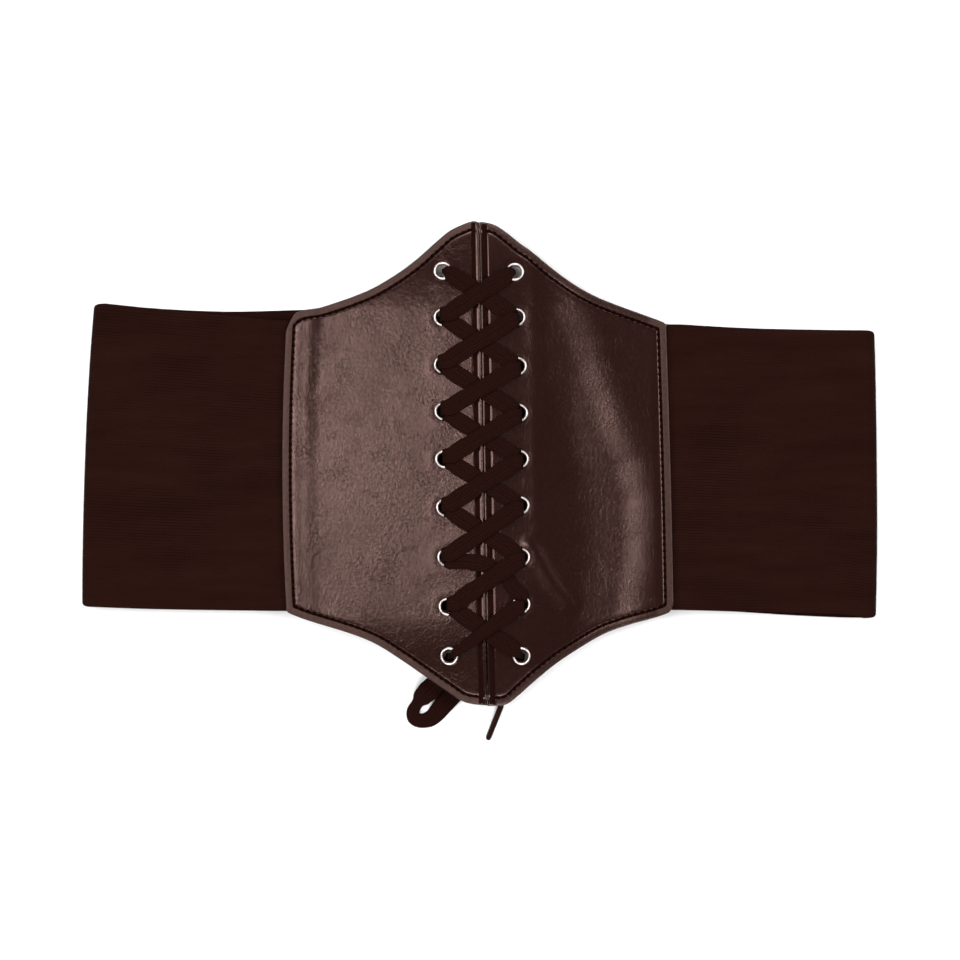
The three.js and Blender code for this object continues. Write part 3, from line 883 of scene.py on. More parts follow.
def keep(mesh: Mesh, name: str, material: Material, slot: Slot | None) -> Piece:
    """Makes a finished object of a mesh, smooth, with its faces turned out.

    Args:
        mesh: The mesh, which is freed.
        name: The piece's name.
        material: Its finish.
        slot: The record's slot, or None for what isn't part of the object.

    Returns:
        The object, riding on the one body if it has a slot.
    """
    bmesh.ops.recalc_face_normals(mesh, faces=mesh.faces)
    for face in mesh.faces:
        face.smooth = True
    data = bpy.data.meshes.new(name)
    mesh.to_mesh(data)
    mesh.free()
    data.materials.append(material)
    piece = bpy.data.objects.new(name, data)
    bpy.context.scene.collection.objects.link(piece)
    if slot:
        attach(piece, "root")
        log.info("%s: %d vertices", name, len(data.vertices))
    return piece


def unit_grid(columns: int, rows: int) -> tuple[Mesh, GridPlace]:
    """A square grid with a UV map called run.

    Args:
        columns: Faces along the first way.
        rows: Faces along the second way.

    Returns:
        The mesh, and a function that gives a vertex's column and row.
    """
    mesh = bmesh.new()
    mesh.loops.layers.uv.new("run")
    bmesh.ops.create_grid(mesh, x_segments=columns, y_segments=rows, size=0.5, calc_uvs=True)
    return mesh, lambda v: (round((v.co.x + 0.5) * columns), round((v.co.y + 0.5) * rows))


def spin_ring(profile: Sequence[Pair], closed: bool, steps: int) -> Mesh:
    """A turned piece round the Z axis.

    Args:
        profile: Pairs of radius and height.
        closed: Whether the profile joins its own start.
        steps: Faces round the piece.

    Returns:
        The mesh.
    """
    mesh = bmesh.new()
    points = [mesh.verts.new((radius, 0, height)) for radius, height in profile]
    pairs = list(zip(points, points[1:])) + ([(points[-1], points[0])] if closed else [])
    edges = [mesh.edges.new(pair) for pair in pairs]
    bmesh.ops.spin(
        mesh, geom=points + edges, cent=(0, 0, 0), axis=(0, 0, 1), dvec=(0, 0, 0),
        angle=2 * math.pi, steps=steps, use_merge=True, use_duplicate=False,
    )
    bmesh.ops.remove_doubles(mesh, verts=mesh.verts, dist=MERGE)
    return mesh


def thicken(mesh: Mesh) -> tuple[list[Vertex], list[Vertex]]:
    """Closes an open sheet into two layers, which still lie on each other.

    Args:
        mesh: The sheet.

    Returns:
        The vertices of the upper layer and of the lower one.
    """
    upper = list(mesh.verts)
    made = bmesh.ops.extrude_face_region(mesh, geom=mesh.faces[:], use_keep_orig=True)
    return upper, [item for item in made["geom"] if isinstance(item, Vertex)]


@dataclass(frozen=True)
class LaceSection:
    """One cross-section of a flat lace: its middle, the way its width lies, and its sizes."""

    centre: Vector
    side: Vector
    width: float
    thick: float

    def toward(self, other: "LaceSection", share: float, centre: Vector) -> "LaceSection":
        """A section on the way to another one.

        Args:
            other: The other section.
            share: Share of the way.
            centre: The new section's middle.

        Returns:
            The new section.
        """
        side = self.side.lerp(other.side, share)
        width, thick = mix(self.width, other.width, share), mix(self.thick, other.thick, share)
        return LaceSection(centre, side, width, thick)


@dataclass(frozen=True)
class BraidSweep:
    """Sweeps a flat ribbed braid through cross-sections."""

    step: float = 0.8 * MM
    parts: int = 4
    around: int = 36
    ribs: int = 6
    rib_depth: float = 0.3
    flatness: float = 0.85
    roundness: float = 0.6

    def smooth(self, sections: Sequence[LaceSection]) -> list[LaceSection]:
        """Close steps on a smooth line through the sections.

        Args:
            sections: The given sections.

        Returns:
            Many more sections, in the same order.
        """
        last = len(sections) - 1
        found: list[LaceSection] = []
        for k in range(last):
            a, b = sections[k], sections[k + 1]
            before, after = sections[max(0, k - 1)], sections[min(last, k + 2)]
            span = max((b.centre - a.centre).length, TINY)
            reach_in = max((b.centre - before.centre).length, TINY)
            reach_out = max((after.centre - a.centre).length, TINY)
            pull_in = (b.centre - before.centre) * (span / reach_in)
            pull_out = (after.centre - a.centre) * (span / reach_out)
            count = max(self.parts, round(span / (self.step / self.parts)))
            for i in range(count + (k == last - 1)):
                start, leave, end, arrive = hermite(i / count)
                centre = a.centre * start + pull_in * leave + b.centre * end + pull_out * arrive
                found.append(a.toward(b, smooth_step(i / count, 0, 1), centre))
        return found

    def resample(self, sections: Sequence[LaceSection]) -> list[LaceSection]:
        """Even steps on a smooth line through the sections.

        Args:
            sections: The given sections.

        Returns:
            Sections a step apart.
        """
        line = self.smooth(sections)
        runs = [0.0]
        for one, two in zip(line, line[1:]):
            runs.append(runs[-1] + (two.centre - one.centre).length)
        count = max(2, round(runs[-1] / self.step))
        even, k = [], 0
        for i in range(count + 1):
            goal = runs[-1] * i / count
            while k < len(runs) - 2 and runs[k + 1] < goal:
                k += 1
            share = (goal - runs[k]) / max(runs[k + 1] - runs[k], TINY**2)
            one, two = line[k], line[k + 1]
            even.append(one.toward(two, share, one.centre.lerp(two.centre, share)))
        return even

    def mesh(self, sections: Sequence[LaceSection]) -> Mesh:
        """The braid's closed surface.

        Args:
            sections: Evenly spaced sections.

        Returns:
            The mesh.
        """
        last = len(sections) - 1
        mesh, place = unit_grid(last, self.around)
        frames = []
        for k, section in enumerate(sections):
            before, after = sections[max(0, k - 1)].centre, sections[min(last, k + 1)].centre
            along = (after - before).normalized()
            side = (section.side - along * section.side.dot(along)).normalized()
            frames.append((section, side, side.cross(along)))
        for vertex in mesh.verts:
            k, turn = place(vertex)
            section, side, face = frames[k]
            angle = 2 * math.pi * (turn % self.around) / self.around
            across = math.copysign(abs(math.cos(angle)) ** self.flatness, math.cos(angle))
            up = math.copysign(abs(math.sin(angle)) ** self.roundness, math.sin(angle))
            rib = 1 - self.rib_depth * (0.5 - 0.5 * math.cos(math.pi * self.ribs * (across + 1)))
            point = section.centre + side * (across * section.width / 2)
            vertex.co = point + face * (up * rib * section.thick / 2)
        bmesh.ops.remove_doubles(mesh, verts=mesh.verts, dist=MERGE)
        bmesh.ops.holes_fill(mesh, edges=[edge for edge in mesh.edges if edge.is_boundary], sides=0)
        return mesh


def run_length(sections: Sequence[LaceSection]) -> float:
    """Length of the line through the sections' middles."""
    return sum((b.centre - a.centre).length for a, b in zip(sections, sections[1:]))


# The lace's free ends


@dataclass(frozen=True)
class TailPoint:
    """One listed point of a free end's route, in metres."""

    x: float
    y: float
    z: float
    width: float
    thick: float


LEFT_TAIL = (
    TailPoint(-0.0124, -0.0790, 0.0072, 0.0028, 0.0018),
    TailPoint(-0.0124, -0.0793, 0.0061, 0.0032, 0.0016),
    TailPoint(-0.0129, -0.0820, 0.0047, 0.0050, 0.0012),
    TailPoint(-0.0139, -0.0852, 0.0039, 0.0064, 0.0010),
    TailPoint(-0.0159, -0.0882, 0.0034, 0.0070, 0.0010),
    TailPoint(-0.0184, -0.0912, 0.0029, 0.0082, 0.0010),
    TailPoint(-0.0212, -0.0940, 0.0024, 0.0088, 0.0010),
    TailPoint(-0.0237, -0.0966, 0.0020, 0.0079, 0.0010),
    TailPoint(-0.0259, -0.0995, 0.0018, 0.0048, 0.0012),
    TailPoint(-0.0275, -0.1026, 0.0016, 0.0054, 0.0012),
    TailPoint(-0.0268, -0.1053, 0.0013, 0.0060, 0.0012),
    TailPoint(-0.0239, -0.1064, 0.0010, 0.0060, 0.0010),
    TailPoint(-0.0200, -0.1053, 0.0008, 0.0068, 0.0010),
    TailPoint(-0.0168, -0.1021, 0.0007, 0.0076, 0.0010),
    TailPoint(-0.0137, -0.0982, 0.0007, 0.0084, 0.0010),
    TailPoint(-0.0101, -0.0944, 0.0007, 0.0084, 0.0010),
    TailPoint(-0.0066, -0.0907, 0.0008, 0.0054, 0.0012),
    TailPoint(-0.0040, -0.0878, 0.0011, 0.0032, 0.0017),
    TailPoint(-0.0026, -0.0862, 0.0012, 0.0020, 0.0019),
)
RIGHT_TAIL = (
    TailPoint(0.0173, -0.0789, 0.0072, 0.0028, 0.0018),
    TailPoint(0.0172, -0.0792, 0.0061, 0.0032, 0.0016),
    TailPoint(0.0165, -0.0816, 0.0048, 0.0044, 0.0012),
    TailPoint(0.0153, -0.0848, 0.0038, 0.0056, 0.0010),
    TailPoint(0.0140, -0.0879, 0.0030, 0.0060, 0.0010),
    TailPoint(0.0127, -0.0910, 0.0023, 0.0052, 0.0011),
    TailPoint(0.0114, -0.0941, 0.0017, 0.0036, 0.0014),
    TailPoint(0.0102, -0.0971, 0.0013, 0.0020, 0.0019),
)


@dataclass(frozen=True)
class FreeEnd:
    """A free end of the lace with its hard tip.

    The tip's shape is given by shares of its radius and of its length: a mouth, a crimp and a
    rounded end.
    """

    side: Side
    route: tuple[TailPoint, ...]
    lace_width: float = 7 * MM
    around: int = 48
    tip_length: float = 18.4 * MM
    tip_radius: float = 1.2 * MM
    tip_steps: int = 32
    tip_shape: Table = (
        (0, 0), (0.72, 0), (0.93, 0.03), (1, 0.07), (0.9, 0.12), (0.9, 0.15), (1, 0.2), (1, 0.6),
        (0.97, 0.9), (0.86, 0.955), (0.55, 0.99), (0, 1),
    )
    clearance: float = 0.3 * MM
    shortest_cord: float = 42 * MM

    def sections(self) -> list[LaceSection]:
        """The route as cross-sections.

        Returns:
            Sections with their width level and square to the route.
        """
        last = len(self.route) - 1
        found = []
        for k, point in enumerate(self.route):
            before, after = self.route[max(0, k - 1)], self.route[min(last, k + 1)]
            side = Vector((before.y - after.y, after.x - before.x, 0)).normalized()
            found.append(LaceSection(Vector((point.x, point.y, point.z)), side, point.width, point.thick))
        return found

    def tip(self) -> Piece:
        """The hard tip, a rolled plastic sleeve in line with the route's end.

        Returns:
            The piece.
        """
        profile = [
            (across * self.tip_radius, along * self.tip_length) for across, along in self.tip_shape
        ]
        mesh = spin_ring(profile, False, self.tip_steps)
        last, before = self.route[-1], self.route[-2]
        along = Vector((last.x - before.x, last.y - before.y, 0)).normalized()
        turn = Vector((0, 0, 1)).rotation_difference(along).to_matrix().to_4x4()
        start = Vector((last.x, last.y, self.tip_radius)) + along * self.clearance
        bmesh.ops.transform(mesh, matrix=Matrix.Translation(start) @ turn, verts=mesh.verts)
        word = self.side.name.lower()
        piece = keep(mesh, f"tip_{word}", TIP.material(f"tip_{word}"), Slot.TIP)
        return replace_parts(piece, f"aglet_{word}")

    def build(self) -> None:
        sweep = BraidSweep(around=self.around)
        sections = sweep.resample(self.sections())
        length = run_length(sections)
        word = self.side.name.lower()
        name = f"free_end_{word}"
        finish = BraidFinish().material(name, length, 2 * self.lace_width)
        piece = keep(sweep.mesh(sections), name, finish, Slot.LACE)
        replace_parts(piece, f"lace_tail_{word}")
        tip = self.tip()
        log.info("%s is %.1f mm long", name, length / MM)


# The lace


@dataclass(frozen=True)
class Turn:
    """How the lace passes an eyelet's rim, from its crest over the flange to inside the hole.

    Each place holds how far it lies towards the laced edge and how far it lies up, as shares of
    the flange's radius, and the lace's width and thickness as shares of its own. A turn from
    above has the lace's width across the belt.
    """

    crest: Quad
    lip: Quad
    hole: Quad
    from_above: bool = False


OVER_PAIRED = Turn(crest=(0.8, 0.42, 0.94, 1.0), lip=(0.12, 0.3, 0.84, 1.1), hole=(0.02, 0.02, 0.64, 1.2))
UNDER_PAIRED = Turn(crest=(0.85, 0.42, 0.94, 1.0), lip=(0.36, 0.3, 0.8, 1.05), hole=(0.34, 0.02, 0.5, 1.1))
TOP_LONE = Turn(crest=(0.66, -0.2, 0.92, 1.1), lip=(0.4, -0.1, 0.74, 1.2), hole=(0.3, -0.05, 0.55, 1.3))
LEFT_FOOT = Turn(crest=(0.72, 0.42, 0.54, 1.3), lip=(0.42, 0.2, 0.44, 1.4), hole=(0.3, 0.12, 0.38, 1.5))
RIGHT_FOOT = Turn(crest=(0.6, 0.5, 0.8, 1.2), lip=(0.26, 0.26, 0.54, 1.4), hole=(0.16, 0.15, 0.42, 1.5))
LOOSE_END = Turn(
    crest=(0.22, 0.84, 0.95, 1.0), lip=(0.16, 0.5, 0.72, 1.1), hole=(0.04, 0.22, 0.5, 1.2),
    from_above=True,
)


@dataclass(frozen=True)
class Crossing:
    """The two strands between one row and the next.

    Over and under are their widths as shares of the lace's, and taper is what the over strand has
    left of its own at its lower end. Slack holds the points that a loose under strand goes
    through, each with its x, its y and the width as a share.
    """

    over: float = 1.0
    under: float = 1.0
    slack: tuple[Triple, ...] = ()
    taper: float = 1.0


@dataclass(frozen=True)
class Lace:
    """One flat lace through all the eyelets, crossing itself between the rows.

    Reach holds how far the strands come out past an eyelet's middle on the left and on the right,
    in millimetres, row by row. On its way over the front a strand comes down by down_share at the
    first distance of come_down and lies at the second, and the strands meet from meet on. The
    three widths hold there, as shares. Back_rows hold, behind the leather, how far the lace lies
    inward and aside as shares of the flange's radius, and its width and thickness as shares.
    """

    form: BeltForm
    width: float = 7 * MM
    thick: float = 1 * MM
    clearance: float = 0.3 * MM
    flange_radius: float = 3.95 * MM
    flange_rise: float = 0.7 * MM
    lip_rise: float = 0.45 * MM
    lip_share: float = 0.94
    flange_gap: float = 0.1 * MM
    cross_gap: float = 0.2 * MM
    pair_lift: float = 1.1
    press: float = 0.3
    come_down: Pair = (2.6 * MM, 5.6 * MM)
    down_share: float = 0.6
    meet: float = 0.4
    widths: Triple = (1.06, 1.08, 0.98)
    back_start: float = 1 * MM
    back_rise: float = 0.6
    back_rows: tuple[Quad, ...] = (
        (0.05, 0.29, 0.3, 1.5), (0.09, 0.29, 0.3, 1.4), (0.3, 0.3, 0.32, 1.2),
        (0.8, 0.32, 0.46, 1.0), (2.03, 0.32, 0.78, 1.0),
    )
    end_drop: float = 2 * MM
    end_size: Pair = (0.38, 1.5)
    crossings: tuple[Crossing, ...] = (
        Crossing(1, 1), Crossing(1, 0.95), Crossing(0.95, 1), Crossing(0.95, 0.95),
        Crossing(1, 0.95), Crossing(0.95, 1),
        Crossing(1, 0.95, (
            (-0.0074, -0.0404, 0.9), (-0.0030, -0.0406, 1.0), (0.0020, -0.0415, 0.95),
            (0.0068, -0.0432, 0.76), (0.0106, -0.0461, 0.82), (0.0133, -0.0503, 0.86),
        )),
        Crossing(1, 1, taper=0.55),
    )
    reach: Table = (
        (0, 0), (0.7, 0.7), (1.6, 0.8), (0.8, 0.8), (0.3, 0.9), (1.1, 0.9), (1.5, 1.2), (0, 0.8), (0, 0),
    )

    @property
    def seat(self) -> float:
        """Height of the leather's upper side, with its clearance, over its middle."""
        return self.form.leather / 2 + self.clearance

    @property
    def under_rise(self) -> float:
        """Height of the lower strand's middle over the leather's."""
        return self.seat + self.thick / 2

    @property
    def over_rise(self) -> float:
        """Height of the upper strand's middle over the leather's, where they cross."""
        return self.under_rise + self.thick + self.cross_gap

    @property
    def bar_drop(self) -> float:
        """Depth of the upper bars' middle under the leather's."""
        return self.seat + self.lip_rise + self.clearance + self.thick / 2

    def section(
        self, x: float, y: float, rise: float, width: float, thick: float,
        side: Triple = (0, 1, 0),
    ) -> LaceSection:
        """A cross-section that stands a rise over the middle of the leather.

        Args:
            x: Its place across the belt.
            y: Its place up the belt.
            rise: Its height over the middle of the leather.
            width: Its width as a share of the lace's.
            thick: Its thickness as a share of the lace's.
            side: The way its width lies.

        Returns:
            The section.
        """
        centre = Vector((x, y, self.form.leather_height(x, y) + rise))
        return LaceSection(centre, Vector(side), width * self.width, thick * self.thick)

    def front_turn(
        self, row: int, cut: PanelCut, turn: Turn, half: int, lift: float,
    ) -> list[LaceSection]:
        """The lace from inside an eyelet up onto its flange.

        Args:
            row: The eyelet's row.
            cut: The eyelet's panel.
            turn: How it passes the rim.
            half: 1 for the upper strand of a pair or a lone one, -1 for the lower.
            lift: How much higher it lies than a strand right on the flange.

        Returns:
            Its sections.
        """
        eye = self.form.eyelet_place(cut, row)
        outward = self.reach[row][0 if cut.side is Side.LEFT else 1] * MM
        flange = self.seat + self.flange_rise + self.flange_gap
        crest_rise = flange + turn.crest[3] * self.thick / 2 + lift
        rises = (self.form.leather / 2, self.lip_share * crest_rise, crest_rise)
        found = []
        for (across, aside, width, thick), rise in zip((turn.hole, turn.lip, turn.crest), rises):
            x = eye.x - cut.sign * (across * self.flange_radius - outward)
            y = eye.y + half * aside * self.flange_radius
            side = (1, 0.1, 0) if turn.from_above else (0, 1, 0)
            found.append(self.section(x, y, rise, width, thick, side))
        return found

    def turn_at(self, row: int, cut: PanelCut, over: bool) -> tuple[Turn, float]:
        """How a strand passes the rim of an eyelet.

        Args:
            row: The eyelet's row.
            cut: The eyelet's panel.
            over: Whether the strand is the upper one.

        Returns:
            The turn, and how much the strand lies over the other there.
        """
        if row == 0:
            return TOP_LONE, 0.0
        if row + 1 == self.form.rows:
            return (LEFT_FOOT if cut is LEFT_CUT else RIGHT_FOOT), 0.0
        if over:
            return OVER_PAIRED, self.pair_lift * self.thick
        return UNDER_PAIRED, 0.0

    def loose_pass(self, slack: Sequence[Triple], ends: Sequence[Vector]) -> list[LaceSection]:
        """A loose strand's way between two eyelets.

        Args:
            slack: The points that it goes through.
            ends: Where it leaves the first eyelet and reaches the second.

        Returns:
            Its sections between the eyelets, square to the way.
        """
        start, end = ends
        way = [(start.x, start.y), *[(x, y) for x, y, _ in slack], (end.x, end.y)]
        found = []
        for (x, y, width), before, after in zip(slack, way, way[2:]):
            square = (before[1] - after[1], after[0] - before[0], 0)
            found.append(self.section(x, y, self.under_rise, width, 1.0, square))
        return found

    def tight_pass(self, crossing: Crossing, over: bool, ends: Sequence[Vector]) -> list[LaceSection]:
        """A tight strand's way between two eyelets.

        Args:
            crossing: The crossing that it is part of.
            over: Whether it is the upper strand.
            ends: Where it leaves the first eyelet and reaches the second.

        Returns:
            Its sections between the eyelets.
        """
        start, end = ends
        leave, arrive = (place.z - self.form.leather_height(place.x, place.y) for place in ends)
        laid = self.over_rise - self.press * self.thick if over else self.under_rise
        cross = self.over_rise if over else self.under_rise
        span = abs(end.x - start.x)
        near, far = self.come_down
        first, second, middle = self.widths
        found = []
        for away, rise, width in (
            (near, mix(leave, laid, self.down_share), first), (far, laid, second),
            (self.meet * span, cross, middle), ((1 - self.meet) * span, cross, middle),
            (span - far, laid, second), (span - near, mix(arrive, laid, self.down_share), first),
        ):
            share = away / span
            place = start.lerp(end, share)
            if over:
                width *= crossing.over * mix(1, crossing.taper, share)
            else:
                width *= crossing.under
            found.append(self.section(place.x, place.y, rise, width, 1.0))
        return found

    def front_pass(self, row: int, start_cut: PanelCut, over: bool) -> list[LaceSection]:
        """One strand across the front, from an eyelet down to the next row's on the other side.

        Args:
            row: The row that it starts from.
            start_cut: The panel that it starts on.
            over: Whether it is the upper strand.

        Returns:
            Its sections.
        """
        end_cut = other_cut(start_cut)
        crossing = self.crossings[row]
        loose = bool(crossing.slack) and not over
        turn, lift = self.turn_at(row, start_cut, over)
        first = self.front_turn(row, start_cut, turn, 1 if row == 0 else -1, lift)
        turn, lift = self.turn_at(row + 1, end_cut, over)
        last = self.front_turn(row + 1, end_cut, LOOSE_END if loose else turn, 1, lift)
        ends = (first[-1].centre, last[-1].centre)
        if loose:
            return [*first, *self.loose_pass(crossing.slack, ends), *reversed(last)]
        return [*first, *self.tight_pass(crossing, over, ends), *reversed(last)]

    def back_turn(self, eye: Vector, inward: int, half: float, drop: float) -> list[LaceSection]:
        """The lace from inside an eyelet down under its lip and onto the bar behind the leather.

        Args:
            eye: The eyelet's place.
            inward: The sign of the way to the other panel.
            half: 1 for the upper end of a bar, -1 for the lower, 0 for a level bar.
            drop: Depth of the bar under the leather's middle.

        Returns:
            Its sections.
        """
        rises = (self.back_start, drop - self.back_rise * self.thick, drop, drop, drop)
        return [
            self.section(
                eye.x + inward * across * self.flange_radius,
                eye.y + half * aside * self.flange_radius, -rise, width, thick,
            )
            for (across, aside, width, thick), rise in zip(self.back_rows, rises)
        ]

    def back_pass(self, row: int, start_cut: PanelCut, half: float, drop: float) -> list[LaceSection]:
        """The bar behind the leather in a row, from one side to the other.

        Args:
            row: The row.
            start_cut: The panel that it starts on.
            half: 1 where it starts high in its eyelet, 0 for a level bar.
            drop: Its depth under the leather's middle.

        Returns:
            Its sections.
        """
        end_cut = other_cut(start_cut)
        start = self.back_turn(self.form.eyelet_place(start_cut, row), end_cut.sign, half, drop)
        end = self.back_turn(self.form.eyelet_place(end_cut, row), start_cut.sign, -half, drop)
        return [*start, *reversed(end)]

    def half(self, start_cut: PanelCut, over: bool) -> list[LaceSection]:
        """The lace from a top eyelet down to its end behind the bottom row.

        Args:
            start_cut: The panel that it starts on.
            over: Whether it crosses over the other half.

        Returns:
            Its sections.
        """
        end_cut = other_cut(start_cut)
        drop = self.bar_drop if over else self.bar_drop + self.thick + self.clearance
        found: list[LaceSection] = []
        for row in range(self.form.rows - 1):
            found += self.front_pass(row, start_cut, over)
            if row + 2 < self.form.rows:
                found += self.back_pass(row + 1, end_cut, 1, drop)
        eye = self.form.eyelet_place(end_cut, self.form.rows - 1)
        for rise in (-self.form.leather / 2, -self.end_drop):
            found.append(self.section(eye.x, eye.y, rise, *self.end_size))
        return found

    def build(self) -> None:
        """Makes the lace as one piece."""
        over = self.half(RIGHT_CUT, True)
        under = self.half(LEFT_CUT, False)
        bar = self.back_pass(0, RIGHT_CUT, 0, self.bar_drop)
        sweep = BraidSweep()
        sections = sweep.resample([*reversed(over), *bar, *under])
        length = run_length(sections)
        log.info("lace is %.0f mm long through the eyelets", length / MM)
        finish = BraidFinish().material("laced_braid", length, 2 * self.width)
        piece = keep(sweep.mesh(sections), "laced_braid", finish, Slot.LACE)
        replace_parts(piece, "lace")


# The eyelets


@dataclass(frozen=True)
class Eyelets:
    """Pressed metal rings with a barrel through the leather.

    The lip's shape is given by shares of its width and of its rise.
    """

    form: BeltForm
    hole: float = 2.7 * MM
    wall: float = 0.25 * MM
    flange: float = 1.1 * MM
    rise: float = 0.7 * MM
    lip: float = 0.9 * MM
    lip_rise: float = 0.45 * MM
    seat_gap: float = 0.08 * MM
    lip_shape: Table = ((0, 0), (0.15, 0.8), (0.5, 1), (1, 0))
    round_steps: int = 8
    steps: int = 40

    def profile(self) -> list[Pair]:
        """The ring's cross-section: a rounded flange, the barrel and a rolled lip behind.

        Returns:
            Pairs of radius and height over the leather's middle.
        """
        seat = self.form.leather / 2 + self.seat_gap
        half = self.flange / 2
        points = []
        for i in range(self.round_steps + 1):
            angle = math.pi * i / self.round_steps
            radius = self.hole + half + half * math.cos(angle)
            points.append((radius, seat + self.rise * math.sin(angle)))
        back = [
            (self.hole + across * self.lip, -seat - down * self.lip_rise)
            for across, down in self.lip_shape
        ]
        barrel = [(self.hole + self.wall, -seat), (self.hole + self.wall, seat)]
        return points + back + barrel

    def build(self) -> None:
        """Makes the rings, each seated square to the leather."""
        finish = NICKEL.material("eyelet_nickel")
        for cut in (LEFT_CUT, RIGHT_CUT):
            for row in range(self.form.rows):
                place = self.form.eyelet_place(cut, row)
                up = self.form.leather_normal(place.x, place.y, self.hole + self.flange)
                turn = Vector((0, 0, 1)).rotation_difference(up).to_matrix().to_4x4()
                mesh = spin_ring(self.profile(), True, self.steps)
                bmesh.ops.transform(mesh, matrix=Matrix.Translation(place) @ turn, verts=mesh.verts)
                name = f"{cut.side.name.lower()}_{row + 1}"
                piece = keep(mesh, f"ring_{name}", finish, Slot.EYELET)
                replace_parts(piece, f"eyelet_{name}")


# The leather panels


@dataclass(frozen=True)
class DiagonalFold:
    """The right panel's slanting fold, the crease below its middle and the swell by its eyelets.

    Ease, from and ends are limits between which each form grows or fades.
    """

    rise: float = 0.4 * MM
    sharp: float = 0.14 * MM
    broad: float = 0.86 * MM
    width: float = 7 * MM
    lead: float = 0.6
    fade: float = 24 * MM
    inset: float = 8 * MM
    upper: float = 0.4
    upper_ease: Pair = (10 * MM, 55 * MM)
    wander: float = 2 * MM
    wander_cells: float = 45
    wander_seed: float = 3
    sink_from: Pair = (2 * MM, 26 * MM)
    crease_line: Table = (
        (0.0170, -0.0290), (0.0235, -0.0375), (0.0305, -0.0500), (0.0400, -0.0620),
    )
    crease_rise: float = 0.42 * MM
    crease_spread: float = 3.2 * MM
    crease_ends: Pair = (0.2, 0.88)
    swell_rise: float = 0.16 * MM
    swell_place: float = 7.5 * MM
    swell_spread: float = 3.4 * MM
    swell_ease: Pair = (-45 * MM, -20 * MM)

    def over(self, flat: float, form: BeltForm, cut: PanelCut, place: Vector) -> float:
        """The leather's lie with the fold in it.

        Args:
            flat: Its lie without the fold.
            form: The belt's form.
            cut: The panel.
            place: The place, of which x and y are used.

        Returns:
            How far the leather stands over its even form.
        """
        x, y = place.x, place.y
        away, _ = away_from_line(place, form.right_step)
        column = form.laced_edge(cut, y) + cut.setback
        sharp = smooth_step(away, -self.width, self.width)
        broad = smooth_step(away, -self.lead * self.width, self.fade)
        down = (self.sharp * sharp + self.broad * broad) / (self.sharp + self.broad)
        inset = form.outer_edge(cut, y) - x
        strength = mix(1, self.upper, smooth_step(y, *self.upper_ease))
        lie = flat + strength * self.rise * (1 - down) * smooth_step(inset, 0, self.inset)
        sink = strength * (self.sharp + self.broad - self.rise)
        wander = self.wander * noise.noise(Vector((self.wander_seed, y * self.wander_cells, 0)))
        lie -= sink * down * smooth_step(x - column + wander, *self.sink_from)
        gap, share = away_from_line(place, self.crease_line)
        start, end = self.crease_ends
        crease = self.crease_rise * bell(gap, self.crease_spread) * smooth_step(share, 0, start)
        crease *= 1 - smooth_step(share, end, 1)
        swell = self.swell_rise * bell(x - column - self.swell_place, self.swell_spread)
        return lie + crease + swell * smooth_step(y, *self.swell_ease)


